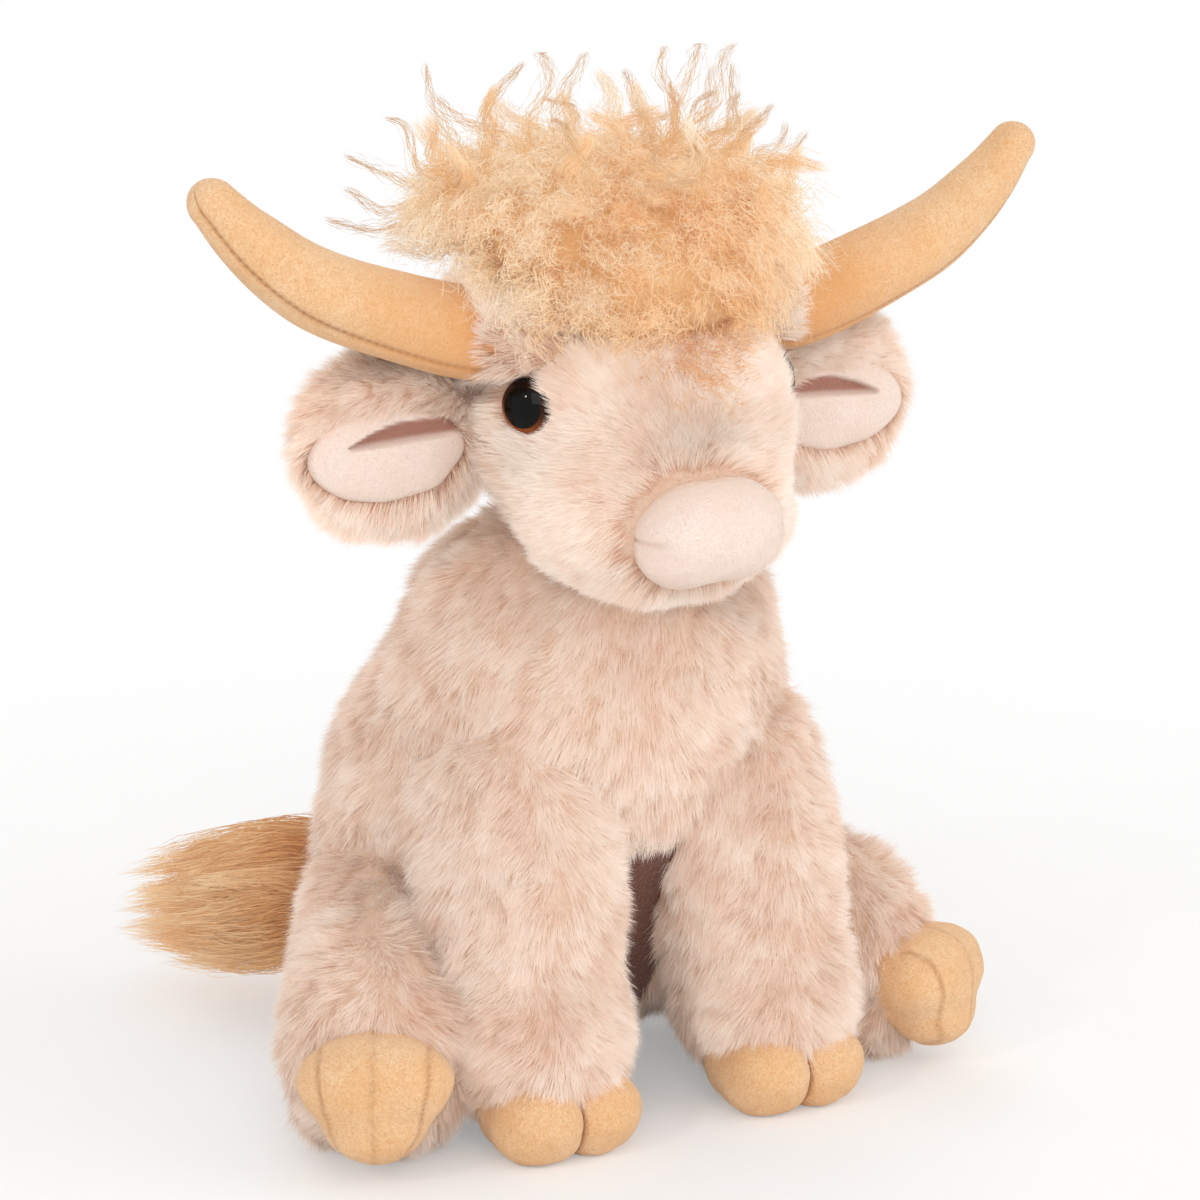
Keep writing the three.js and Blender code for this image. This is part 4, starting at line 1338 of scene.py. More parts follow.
@dataclass
class Eye:
    """A domed safety eye on its shank, set into the fur."""

    side: Side
    head: Head
    radius: float = 7.5 * MM
    dome: float = 5.6 * MM
    sunk: float = 7.1 * MM
    shank_radius: float = 2 * MM
    shank_length: float = 9 * MM
    lip: float = 0.5 * MM
    edge: float = 0.4 * MM
    fillet: float = 0.6 * MM
    facing: float = 58.0
    around: int = 64
    seat: Array = field(init=False)
    out: Array = field(init=False)

    def __post_init__(self) -> None:
        """Finds the eye's seat, as deep under the fur's tips as it is sunk."""
        form = self.head.form
        middle = np.array(form.middle) * form.sizes + form.place
        way = unit(form.at((self.side.value * 0.376, -0.162, 0.071)) - middle)
        reach = form.reach(way[None], 0.0)[0] - self.sunk
        self.seat = middle + way * reach
        angle = math.radians(self.facing)
        self.out = np.array([self.side.value * math.sin(angle), -math.cos(angle), 0.0])

    def off_axis(self, points: Array) -> tuple[Array, Array]:
        """How far points lie in front of the eye's seat, and the vectors from the eye's axis to them."""
        flat = points - self.seat
        height = flat @ self.out
        return height, flat - height[..., None] * self.out

    def build(self, finishes: Finishes) -> None:
        """Makes the dome and its shank as one turned body.

        Args:
            finishes: the toy's materials.
        """
        lift = np.linspace(0, math.pi / 2, 26)[:-1]
        outline = [(self.shank_radius, -self.shank_length), (self.shank_radius, -self.fillet),
                   (self.shank_radius + self.fillet, 0), (self.radius - self.lip, 0)]
        outline += [(self.radius * math.cos(angle), self.edge + (self.dome - self.edge) * math.sin(angle))
                    for angle in lift]
        across = unit(np.cross([0, 0, 1.0], self.out))
        up = np.cross(self.out, across)
        swing = np.linspace(0, FULL_TURN, self.around, endpoint=False)
        spokes = np.cos(swing)[:, None] * across + np.sin(swing)[:, None] * up
        rings = [self.seat + self.out * height + spokes * radius for radius, height in outline]
        low = np.repeat([self.seat - self.out * self.shank_length], self.around, 0)
        high = np.repeat([self.seat + self.out * self.dome], self.around, 0)
        grid = np.array([low, *rings, high])
        _, away = self.off_axis(grid)
        share = np.linalg.norm(away, axis=-1) / self.radius
        # painted light on the iris, brightest low and outside, as light through a clear dome would fall
        painted_light_way = unit(np.array([0.6 * self.side.value, 0, -0.8]))
        glow = np.clip(0.5 + 0.75 * unit(away) @ painted_light_way, 0, 1)
        name = f"eye_{self.side.word}"
        made = Bench.closed_skin(f"{name}_dome", grid, {"dome": np.stack([share, glow], axis=-1)})
        Bench.finish(made, finishes.eye, "head", "eye_plastic", (name,))


@dataclass
class NosePad:
    """The broad velour nose, sewn into the muzzle."""

    head: Head
    sizes: Triple = mm(45, 26, 30)
    form: SoftForm = field(init=False)

    def __post_init__(self) -> None:
        """Places the pad on the muzzle's front."""
        lobes = (Lobe((-0.14, 0, 0), (0.34, 0.48, 0.48)), Lobe((0.14, 0, 0), (0.34, 0.48, 0.48)))
        self.form = SoftForm(self.sizes, lobes, tuple(self.head.form.at((0, -0.45, -0.28))), (0, 0, 0),
                             2.5 * MM, pole=Pole.X)

    def build(self, finishes: Finishes) -> None:
        """Makes the pad, drawn to a blunt point at each end, with a small tuck there.

        Args:
            finishes: the toy's materials.
        """
        grid = self.form.skin(70, 96)
        flat = grid.reshape(-1, 3)
        local = self.form.unplaced(flat)
        normals = self.form.normals(flat)
        wide, _, high = self.sizes
        end = np.abs(local[:, 0]) * 2 / wide
        tuck = valley(local[:, 2] - (2.0 * end - 1.0) * MM, 0.9 * MM) * np.clip((end - 0.7) * 5, 0, 1)
        held = np.clip(end, 0, 0.96)
        squarer = np.sqrt((1 - held**3) / (1 - held**2)) - 1
        local[:, 2] *= 0.89 * (1 + np.where(local[:, 2] > 0, 0.5 * squarer - 0.16 * held**2, 0.8 * squarer))
        local[:, 2] += 0.06 * local[:, 0]
        dents = 0.3 * MM * waves(local, 13 * MM, 21) + 0.1 * MM * waves(local, 4 * MM, 25)
        shaped = self.form.placed(local) - normals * (0.9 * MM * tuck + dents + 0.2 * MM)[:, None]
        # painted shade: the tucks at the pad's ends darken towards the stitch colour
        trim = np.stack([0.22 * tuck, 0 * tuck], axis=-1).reshape(*grid.shape[:2], 2)
        made = Bench.closed_skin("nose_pad_velour", shaped.reshape(grid.shape), {"trim": trim})
        Bench.finish(made, finishes.pink, "head", "pink_velour", ("nose_pad",), fill=0.9)


@dataclass
class Ear:
    """A furry flap that stands out from the head, with a velour lining in its cupped front."""

    side: Side
    head: Head
    sizes: Triple = mm(54, 20, 52)
    undercoat_depth: float = 4.5 * MM
    lap: float = 4 * MM
    bare_middle: tuple[float, float] = (0.463, -0.054)
    bare_half: tuple[float, float] = (0.41, 0.238)
    lining_middle: Triple = mm(25.0, -3.4, -2.8)
    lining_half: Triple = mm(22.5, 4.8, 12.7)
    slot_depth: float = 6 * MM
    slot_back: float = 5.7 * MM
    fold_sizes: Triple = mm(40, 10, 20)
    fold_depth: float = 1.5 * MM
    strands: int = 50000
    fold_strands: int = 15000
    form: SoftForm = field(init=False)

    def __post_init__(self) -> None:
        """Places the flap at the side of the head."""
        lobes = (Lobe((0.5, 0, 0), (0.46, 0.42, 0.47)), Lobe((0.22, 0.04, -0.04), (0.3, 0.4, 0.34)))
        place = self.head.form.at((self.side.value * 0.475, 0.06, -0.03))
        self.form = SoftForm(self.sizes, lobes, tuple(place), (0.45, 0, 0), 2.5 * MM, self.side.value)

    @property
    def body(self) -> str:
        """The ear's body in the record."""
        return f"ear_{self.side.word}"

    def bare_share(self, points: Array) -> Array:
        """How far points lie from the bare oval's middle, counted in its half sizes, seen from the front."""
        local = self.form.unplaced(points) * (self.side.value, 1, 1) / self.sizes
        return np.linalg.norm((local[:, [0, 2]] - self.bare_middle) / self.bare_half, axis=1)

    def flow(self, points: Array, normals: Array) -> Array:
        """Outwards from the ear's root, down, and over its rim."""
        local = self.form.unplaced(points)
        spread = unit(local * (1, 0, 1)) @ self.form.turning.T
        return 0.8 * spread + np.array([0, 0, -0.55])

    def build(self, finishes: Finishes) -> None:
        """Makes the flap, its fur, and the lining with the folded lip over it.

        Args:
            finishes: the toy's materials.
        """
        name = self.body
        flap = Bench.closed_skin(f"{name}_undercoat", self.form.skin(44, 60, -self.undercoat_depth))
        Bench.finish(flap, finishes.undercoat, name, "fur", (name,), fill=0.3)
        head = self.head.form

        def keep(points: Array) -> Array:
            """The flap outside its lining and the head."""
            front = self.form.unplaced(points)[:, 1] < 0
            return (head.depth(points) < self.lap) & ~(front & (self.bare_share(points) < 1.0))

        pile = Pile(length=7.2 * MM, width=0.28 * MM, lean=46, tuft_radius=1.8 * MM)
        coat = Coat(self.form, Combing(self.flow, swirl=0.35, seed=71), pile, keep, -self.undercoat_depth,
                    400 + self.side.value)
        made = Bench.fibres(f"{name}_fur", *coat.strands(self.strands))
        Bench.finish(made, finishes.face_fur, name, "fur", (name,))
        self.build_lining(finishes)
        self.build_fold(finishes)

    def build_lining(self, finishes: Finishes) -> None:
        """Makes the puffy lining with its fold, a slot between two curves that meet at its outer end,
        darkened with painted shade.

        Args:
            finishes: the toy's materials.
        """
        half, middle = np.array(self.lining_half), np.array(self.lining_middle)
        place = self.form.placed(middle * (self.side.value, 1, 1))
        form = ellipsoid(tuple(2 * half), tuple(place), 2 * MM, Pole.X)
        grid = form.skin(64, 92)
        flat = grid.reshape(-1, 3)
        local = self.form.unplaced(flat) * (self.side.value, 1, 1)
        over, under = local[:, 0], local[:, 2]
        top = np.interp(over, mm(0, 1.5, 6, 23, 30, 37), mm(1.2, 3.4, 5.6, 5.2, 3.2, 0.0))
        floor = np.interp(over, mm(0, 18, 37), mm(0.6, 0.2, -0.9))
        # the slot's share also sets the painted shade that darkens the fold
        slot = np.clip((under - floor) / (2.2 * MM), 0, 1)
        slot = slot * np.clip((top + 0.9 * MM - under) / (1.0 * MM), 0, 1)
        slot = slot**2 * (3 - 2 * slot) * (local[:, 1] < middle[1]) * (over < 37 * MM)
        sunk = np.minimum(local[:, 1] + self.slot_depth * slot, -self.slot_back)
        local[:, 1] = np.maximum(local[:, 1], sunk)
        flat = self.form.placed(local * (self.side.value, 1, 1))
        flat = flat - form.normals(flat) * (0.25 * MM * waves(flat, 11 * MM, 60))[:, None]
        share = np.hypot((over - middle[0]) / half[0], (under - middle[2]) / half[2])
        # the rim darkens partly for the stitched seam and partly as painted shade where the pad dips into the
        # fur
        seam = 0.5 * np.clip((share - 0.955) / 0.05, 0, 1)
        trim = np.stack([seam, slot], axis=-1).reshape(*grid.shape[:2], 2)
        made = Bench.closed_skin(f"{self.body}_lining_velour", flat.reshape(grid.shape), {"trim": trim})
        node = f"ear_lining_{self.side.word}"
        Bench.finish(made, finishes.pink, self.body, "pink_velour", (node,), fill=0.3)

    def build_fold(self, finishes: Finishes) -> None:
        """Makes the furry fold that hangs over the lining's upper part.

        Args:
            finishes: the toy's materials.
        """
        lobes = tuple(Lobe(middle, (0.25, 0.45, 0.3))
                      for middle in ((0.35, -0.42, 0.72), (0.7, -0.38, 0.645), (0.075, -0.34, 0.61)))
        form = SoftForm(self.fold_sizes, lobes, tuple(self.form.place), (0.38, -0.33, 0.6), 1.6 * MM,
                        self.side.value, pole=Pole.X)
        skin = Bench.closed_skin(f"{self.body}_fold_undercoat", form.skin(40, 40, -self.fold_depth))
        Bench.finish(skin, finishes.undercoat, self.body, "fur", (self.body,), fill=0.3)
        pile = Pile(length=5.5 * MM, width=0.26 * MM, tuft_radius=1.3 * MM, lean=55)
        coat = Coat(form, Combing(self.flow, swirl=0.3, seed=75), pile,
                    lambda points: self.head.form.depth(points) < self.lap,
                    -self.fold_depth, 420 + self.side.value)
        made = Bench.fibres(f"{self.body}_fold_fur", *coat.strands(self.fold_strands))
        Bench.finish(made, finishes.face_fur, self.body, "fur", (self.body,))


def hair_ribbons(line: Array, sway: Array, width: float) -> tuple[Array, Array]:
    """Ribbons along middle lines, narrower towards the tip, which is a single point.

    Args:
        line: steps, strands, and coordinates.
        sway: for each, a direction that the ribbon's width stands square to.
        width: of a ribbon at its root.

    Returns:
        Points and triangles.
    """
    steps, count = line.shape[:2]
    share = np.linspace(0, 1, steps)[:, None, None]
    across = unit(np.cross(unit(np.gradient(line, axis=0)), sway))
    half = width / 2 * (1 - 0.55 * share) * across
    points = np.stack([line - half, line + half], axis=2).transpose(1, 0, 2, 3).reshape(count, -1, 3)[:, :-1]
    ring = 2 * np.arange(steps - 2)[:, None]
    end = np.array([[2 * steps - 4, 2 * steps - 3, 2 * steps - 2]])
    faces = np.concatenate([ring + (0, 1, 3), ring + (0, 3, 2), end])
    size = 2 * steps - 1
    triangles = (size * np.arange(count)[:, None, None] + faces[None]).reshape(-1, 3)
    return points.reshape(-1, 3), triangles


def hair_map(shade: Array, steps: int) -> Array:
    """The map of ribbons: each strand's shade, and the place along it."""
    place = np.repeat(np.linspace(MAP_LOW, MAP_HIGH, steps), 2)[:-1]
    return np.stack([np.repeat(shade, len(place)), np.tile(place, len(shade))], axis=1)


@dataclass
class Curls:
    """Long wavy hair that grows from a form: every strand a loose coil about its own drooping path.

    Each scatter is how far strands or locks differ at random, and each pair gives the least and the most
    share by which they differ.
    """

    form: SoftForm
    flow: Flow
    keep: Test
    length: float
    grow: float
    seed: int
    coil: float = 1.5 * MM
    pitch: float = 7.0 * MM
    width: float = 0.34 * MM
    steps: int = 10
    lean: float = 30.0
    droop: float = 0.35
    lock_radius: float = 3.0 * MM
    lock_strands: int = 26
    stray: float = 0.8
    gather: float = 0.35
    spread: tuple[float, float] = (0.75, 1.15)
    lock_wave: float = 0.0
    golden: Triple | None = None
    golden_reach: Triple = mm(34, 34, 26)
    ceiling: float = 290.5 * MM
    ceiling_blend: float = 3 * MM
    lean_scatter: float = 14.0
    root_scatter: float = 0.6
    heading_scatter: float = 0.22
    bend_scatter: float = 0.25
    phase_scatter: float = 0.9
    bend: float = 0.6
    fall: Triple = (0, 0, -0.6)
    stray_size: float = 15 * MM
    shade_sway: float = 0.25
    shade_sway_size: float = 10 * MM
    lock_shade: float = 0.15
    strand_shade: float = 0.1
    lengths: tuple[float, float] = (0.6, 1.1)
    swings: tuple[float, float] = (1.0, 1.8)
    pitches: tuple[float, float] = (0.8, 1.25)
    coils: tuple[float, float] = (0.5, 1.2)

    def strands(self, strand_count: int) -> tuple[Array, Array, Array]:
        """The hair as flat ribbons, a triangle at each tip.

        A strand's middle line starts along the lock's heading and bends towards the flow as the share of its
        length grows; its points lie round that line at the coil's radius, turned by a full turn a pitch.

        Args:
            strand_count: about how many.

        Returns:
            Points, triangles and the strands' map.
        """
        draw = np.random.default_rng(self.seed)
        scout = Coat(self.form, Combing(self.flow, 0.0), Pile(), self.keep, self.grow, self.seed)
        middles, normals = scout.tuft_places(strand_count // self.lock_strands)
        locks = len(middles)
        flow = unit(self.flow(middles, normals)) + self.stray * wave_vectors(middles, self.stray_size, 5)
        flow = unit(along_surface(flow, normals))
        lean = np.radians(self.lean + draw.normal(0, self.lean_scatter, (locks, 1)))
        start = unit(normals * np.cos(lean) + flow * np.sin(lean))
        stretch = draw.uniform(*self.spread, (locks, 1))
        each = np.repeat(np.arange(locks), self.lock_strands)
        count = len(each)
        offset = self.lock_radius * self.root_scatter * draw.normal(size=(count, 3))
        root = middles[each] + along_surface(offset, normals[each])
        heading = unit(start[each] + self.heading_scatter * draw.normal(size=(count, 3)))
        length = self.length * stretch[each] * draw.uniform(*self.lengths, (count, 1))
        lock_bend = self.droop * (flow + self.fall)
        bend = lock_bend[each] + self.bend_scatter * draw.normal(size=(count, 3))
        share = np.linspace(0, 1, self.steps)[:, None, None]
        bent = share**2 * self.bend
        line = root + length * (heading * share + bend * bent)
        lock_line = (middles + stretch * self.length * (start * share + lock_bend * bent))[:, each]
        line = line + (lock_line - line) * self.gather * share ** (1 - 0.6 * self.gather)
        swings = draw.uniform(*self.swings, (locks, 1))
        sweep = np.sin(swings * FULL_TURN * share + draw.uniform(0, 6.3, (locks, 1)))
        aside = unit(np.cross(start, draw.normal(size=(locks, 3))))
        line = line + self.lock_wave * (np.minimum(share * 2, 1) * sweep * aside)[:, each]
        phase = (FULL_TURN * (length * share / self.pitch) * draw.uniform(*self.pitches, (count, 1))
                 + draw.normal(0, self.phase_scatter, (count, 1))
                 + draw.uniform(0, FULL_TURN, (locks, 1))[each])
        first = unit(np.cross(heading, normals[each] + 0.01))
        second = np.cross(heading, first)
        radius = self.coil * np.minimum(share * 5, 1) * draw.uniform(*self.coils, (count, 1))
        radius = radius * (1 - 0.6 * self.gather * share)
        line = line + radius * (np.cos(phase) * first + np.sin(phase) * second)
        room = np.logaddexp(0, (self.ceiling - line[..., 2]) / self.ceiling_blend)
        line[..., 2] = self.ceiling - self.ceiling_blend * room
        sway = first * np.cos(0.7 * phase) + second * np.sin(0.7 * phase)
        points, triangles = hair_ribbons(line, sway, self.width)
        shade = (0.5 + self.shade_sway * waves(middles, self.shade_sway_size, self.seed + 4)
                 + draw.normal(0, self.lock_shade, locks))
        if self.golden:
            apart = np.linalg.norm((middles - self.golden) / self.golden_reach, axis=1)
            shade = 0.5 * shade + 0.75 - 0.95 * np.exp(-(apart**2))
        shade = np.clip(shade[each] + draw.normal(0, self.strand_shade, count), MAP_LOW, MAP_HIGH)
        return points, triangles, hair_map(shade, self.steps)


@dataclass
class Forelock:
    """The cloud of golden curls over the forehead and the crown."""

    head: Head
    sizes: Triple = mm(98, 84, 63)
    core_depth: float = 9 * MM
    root_depth: float = 13.5 * MM
    lap: float = 6 * MM
    golden_seat: Triple = mm(0, -30, -4)
    strands: int = 6000
    wisp_strands: int = 640
    tuft_strands: int = 1700
    fringe_strands: int = 3800
    form: SoftForm = field(init=False)

    def __post_init__(self) -> None:
        """Places the cloud over the head."""
        lobes = (Lobe((-0.02, -0.1, 0.02), (0.41, 0.42, 0.36)), Lobe((-0.07, 0.09, 0.24), (0.33, 0.34, 0.26)),
                 Lobe((0, -0.3, -0.16), (0.3, 0.24, 0.3)))
        place = self.head.form.at((-0.03, 0.03, 0.49))
        self.form = SoftForm(self.sizes, lobes, tuple(place), (0, -0.06, 0.06), 9 * MM)

    @property
    def golden(self) -> Triple:
        """The middle of the cloud's most golden part, low in its front."""
        return tuple(np.array(self.form.place) + self.golden_seat)

    def flow(self, points: Array, normals: Array) -> Array:
        """Outwards over the crown, and down over the forehead."""
        apart = (points - self.form.place) * (1, 1, 0)
        return unit(apart) + np.array([0, -0.35, -0.5])

    def build(self, finishes: Finishes) -> None:
        """Makes the matted core, three pieces of curls, the wisps and the fringe.

        Args:
            finishes: the toy's materials.
        """
        core = Bench.closed_skin("forelock_core", self.form.skin(60, 84, -self.core_depth))
        Bench.finish(core, finishes.curl_core, "head", "forelock_curls", ("forelock",), fill=0.4)
        head = self.head.form
        for number, name in enumerate(SECTORS):

            def keep(points: Array, number: int = number) -> Array:
                """The places of this sector above the head."""
                inside = in_sector(points, self.form.place[1], number, first=-90)
                return inside & (head.depth(points) < self.lap)

            curls = Curls(self.form, self.flow, keep, 14 * MM, -self.root_depth, 500 + number,
                          coil=1.6 * MM, pitch=5.5 * MM, width=0.26 * MM, steps=12, gather=0.25,
                          spread=(0.6, 1.3), lock_wave=0.8 * MM, golden=self.golden)
            made = Bench.fibres(f"forelock_curls_{name}", *curls.strands(self.strands))
            Bench.finish(made, finishes.curls, "head", "forelock_curls", ("forelock",))
        self.build_wisps(finishes)
        self.build_fringe(finishes)

    def build_fringe(self, finishes: Finishes) -> None:
        """Makes the sparse curls that run down into the fur of the forehead, fewer the lower they are.

        Args:
            finishes: the toy's materials.
        """
        head = self.head.form

        def keep(points: Array) -> Array:
            """Scattered places on the forehead."""
            share = head.unplaced(points) / head.sizes
            fall = (share[:, 2] - 0.1) / 0.26 - 2.0 * share[:, 0] ** 2 / 0.1
            return (share[:, 1] < 0) & (share[:, 2] < 0.45) & (waves(points, 1.7 * MM, 9) * 0.6 < fall - 0.32)

        def outward(points: Array, normals: Array) -> Array:
            """Down the forehead and away from its middle."""
            return np.array([0, 0, -1.0]) + 0.8 * np.tanh(points[:, :1] / (20 * MM)) * (1, 0, 0)

        fringe = Curls(head, outward, keep, 9 * MM, -4 * MM, 560, coil=0.9 * MM, pitch=5 * MM,
                       width=0.25 * MM, steps=9, lean=56, droop=0.2, lock_strands=4, lock_radius=2.4 * MM,
                       spread=(0.5, 1.2), golden=self.golden)
        made = Bench.fibres("forelock_fringe", *fringe.strands(self.fringe_strands))
        Bench.finish(made, finishes.fringe, "head", "forelock_curls", ("forelock",))

    def build_wisps(self, finishes: Finishes) -> None:
        """Makes the long wisps and the shorter tufts that stand out of the cloud, gathered at their tips.

        Args:
            finishes: the toy's materials.
        """
        form = self.form

        def upward(points: Array, normals: Array) -> Array:
            """Up, and a little outwards."""
            return np.array([0, 0, 1.0]) + 0.3 * unit((points - form.place) * (1, 1, 0))

        def high(points: Array) -> Array:
            """The upper part of the cloud."""
            return points[:, 2] > form.place[2] + 1 * MM

        wisps = Curls(form, upward, high, 46 * MM, -12 * MM, 541, coil=1.1 * MM, pitch=8 * MM,
                      width=0.2 * MM, steps=20, lean=34, droop=0.2, lock_radius=2.2 * MM, lock_strands=22,
                      stray=1.0, gather=0.95, spread=(0.42, 1.05), lock_wave=2.6 * MM)
        made = Bench.fibres("forelock_wisps", *wisps.strands(self.wisp_strands))
        Bench.finish(made, finishes.wisps, "head", "forelock_curls", ("forelock",))
        tufts = Curls(form, upward, high, 25 * MM, -12 * MM, 551, coil=1.5 * MM, pitch=7 * MM,
                      width=0.24 * MM, steps=12, lean=38, droop=0.3, lock_radius=5 * MM, lock_strands=56,
                      stray=1.0, gather=0.85, spread=(0.6, 1.1), lock_wave=1.6 * MM)
        made = Bench.fibres("forelock_tufts", *tufts.strands(self.tuft_strands))
        Bench.finish(made, finishes.curls, "head", "forelock_curls", ("forelock",))


@dataclass
class Tail:
    """A short furry tail that points back and to the right, with a tassel of long hair at its end."""

    turn: float = 52.0
    undercoat_depth: float = 2.5 * MM
    lap: float = 3 * MM
    core_depth: float = 13 * MM
    floor_gap: float = 0.4 * MM
    hair_width: float = 0.36 * MM
    strands: int = 30000
    tassel_strands: int = 8600
    form: SoftForm = field(init=False)
    tassel: SoftForm = field(init=False)

    def __post_init__(self) -> None:
        """Places the tail's and the tassel's forms on the tail's joint."""
        place = joint_place("tail_swing")
        lobes = (Lobe((0, -0.2, 0), (1, 1, 1)), Lobe((0, 1.0, -0.05), (0.98, 1.3, 0.95)),
                 Lobe((0, 2.6, -0.3), (0.92, 1.5, 0.9)), Lobe((0, 4.4, -0.95), (0.82, 1.5, 0.8)))
        self.form = SoftForm(mm(9, 10, 9), lobes, tuple(place), (0, 2.2, -0.25), 3 * MM, turn=self.turn,
                             pole=Pole.Y)
        turning = self.form.turning
        end = place + np.array([0, 58, -9.6]) * MM @ turning.T
        tassel = (Lobe((0, -0.16, 0.06), (0.36, 0.3, 0.38)), Lobe((0, 0.14, -0.12), (0.44, 0.36, 0.42)))
        self.tassel = SoftForm(mm(46, 62, 46), tassel, tuple(end), (0, 0, 0), 9 * MM, turn=self.turn,
                               pole=Pole.Y)

    def flow(self, points: Array, normals: Array) -> Array:
        """Along the tail to its end, drooping."""
        return np.array([[0, 1.0, -0.3]]) @ self.form.turning.T + 0 * points

    def build(self, finishes: Finishes, torso: Torso) -> None:
        """Makes the tail's skin and fur, then the tassel.

        Args:
            finishes: the toy's materials.
            torso: the body that the tail is sewn to.
        """
        skin = Bench.closed_skin("tail_undercoat", self.form.skin(40, 40, -self.undercoat_depth))
        Bench.finish(skin, finishes.undercoat, "tail", "fur", ("tail",), fill=0.9)
        pile = Pile(length=8.0 * MM, tuft_radius=1.6 * MM)
        coat = Coat(self.form, Combing(self.flow, swirl=0.2, seed=81), pile,
                    lambda points: torso.form.depth(points) < self.lap, -self.undercoat_depth, 600)
        made = Bench.fibres("tail_fur", *coat.strands(self.strands))
        Bench.finish(made, finishes.fur, "tail", "fur", ("tail",))
        core = Bench.closed_skin("tail_tassel_core", self.tassel.skin(40, 56, -self.core_depth))
        Bench.finish(core, finishes.tassel_core, "tail", "tassel_hair", ("tail_tassel",), fill=0.3)
        made = Bench.fibres("tail_tassel_hair", *self.tassel_hair())
        Bench.finish(made, finishes.tassel, "tail", "tassel_hair", ("tail_tassel",))

    def tassel_hair(self, locks: int = 90, steps: int = 9) -> tuple[Array, Array, Array]:
        """Long hair that leaves the tail's end as one brush and falls apart into pointed locks.

        In the tassel's own frame a lock runs from a place near the tail's end to one behind and below it; its
        strands start spread round the lock and end close together, and wave more towards their tips.

        Args:
            locks: how many locks.
            steps: points along a strand.

        Returns:
            Points, triangles and the strands' map.
        """
        draw = np.random.default_rng(710)
        angle = draw.uniform(0, FULL_TURN, locks)
        radius = np.sqrt(draw.uniform(0.02, 1, locks))
        start = np.stack([9 * radius * np.cos(angle), -27 + draw.uniform(-2, 6, locks),
                          1 + 9 * radius * np.sin(angle)], axis=1) * MM
        end = np.stack([18 * radius * np.cos(angle) + draw.normal(0, 2.5, locks),
                        24 + 21 * draw.uniform(size=locks) - 10 * radius**2,
                        -9 + 18 * radius * np.sin(angle) + draw.normal(0, 2.5, locks)], axis=1) * MM
        each = np.repeat(np.arange(locks), self.tassel_strands // locks)
        count = len(each)
        share = np.linspace(0, 1, steps)[:, None, None]
        bulge = (start - (0, 0, 1 * MM)) * (1.1, 0, 1.1)
        lock = start + (end - start) * share + bulge[None] * np.sin(math.pi * share) * (1 - 0.4 * share)
        stray = 3.4 * MM * draw.normal(size=(count, 3)) * (1, 0.9, 1)
        reach = draw.uniform(0.62, 1.04, (count, 1)) * share
        line = lock[0][each] + (lock[:, each] - lock[0][each]) * (reach / np.maximum(share, 1e-9))
        line = line + stray * (1 - 0.72 * share)
        phase = FULL_TURN * (2.6 * share * draw.uniform(0.8, 1.3, (count, 1)))
        phase = phase + draw.uniform(0, 6.3, (count, 1))
        wave = 0.9 * MM * share * np.concatenate([np.cos(phase), 0 * phase, np.sin(phase)], axis=2)
        sway = np.concatenate([np.cos(phase * 0.5), 0.3 + 0 * phase, np.sin(phase * 0.5)], axis=2)
        line = self.tassel.placed(line + wave)
        line[..., 2] = np.maximum(line[..., 2], self.floor_gap)
        points, triangles = hair_ribbons(line, sway @ self.tassel.turning.T, self.hair_width)
        shade = 0.5 + draw.normal(0, 0.17, locks)
        shade = np.clip(shade[each] + draw.normal(0, 0.1, count), MAP_LOW, MAP_HIGH)
        return points, triangles, hair_map(shade, steps)


def dress_inner_nodes(finishes: Finishes) -> None:
    """Gives the pieces inside the skins, which stay as the frame has them, their own materials.

    Args:
        finishes: the toy's materials.
    """
    legs = [f"{kind}_leg_{side.word}_stuffing" for kind in ("fore", "hind") for side in Side]
    horns = [f"horn_stuffing_{side.word}" for side in Side]
    inside = {finishes.stuffing: ["body_stuffing", "head_stuffing", *horns, *legs],
              finishes.pouch: ["pellet_pouch"],
              finishes.washer: [f"eye_washer_{side.word}" for side in Side]}
    for material, names in inside.items():
        for name in names:
            made = frame["nodes"][name]
            made.data.materials.clear()
            made.data.materials.append(material)


@dataclass
class HeadClearing:
    """Where the head's fur has room beside the nose, the eyes, the ears, the horns and the forelock."""

    torso: Torso
    nose: NosePad
    eyes: list[Eye]
    ears: list[Ear]
    horns: list[Horn]
    forelock: Forelock
    under_body: float = 7 * MM
    nose_gap: float = 1.5 * MM
    under_forelock: float = 13 * MM
    under_ears: float = 3 * MM
    eye_gap: float = 0.8 * MM
    eye_back: float = 12 * MM
    horn_lap: float = 2 * MM
    nose_room: float = 0.4 * MM
    rim_slope: float = 0.2
    rim_lap: float = 2.1 * MM
    rim_back: float = 2 * MM
    horn_room: float = 0.5 * MM

    def keep(self, points: Array) -> Array:
        """The places where fur stands.

        Args:
            points: places, one a row.

        Returns:
            One truth value a point.
        """
        kept = self.torso.form.depth(points) < self.under_body
        kept &= self.nose.form.depth(points) < -self.nose_gap
        kept &= self.forelock.form.depth(points) < self.under_forelock
        for ear in self.ears:
            kept &= ear.form.depth(points) < self.under_ears
        for eye in self.eyes:
            height, away = eye.off_axis(points)
            kept &= (np.linalg.norm(away, axis=1) > eye.radius + self.eye_gap) | (height < -self.eye_back)
        for horn in self.horns:
            kept &= horn.apart(points) > horn.root_radius - self.horn_lap
        return kept

    def clear(self, points: Array) -> Array:
        """The points that lie neither in nor in front of the nose, the eyes and the horns.

        Args:
            points: places, one a row.

        Returns:
            One truth value a point.
        """
        free = self.nose.form.depth(points) < -self.nose_room
        for eye in self.eyes:
            height, away = eye.off_axis(points)
            rim = eye.radius + self.rim_slope * height - self.rim_lap
            free &= (np.linalg.norm(away, axis=1) > rim) | (height < -self.rim_back)
        for horn in self.horns:
            free &= horn.apart(points) > horn.root_radius - self.horn_room
        return free


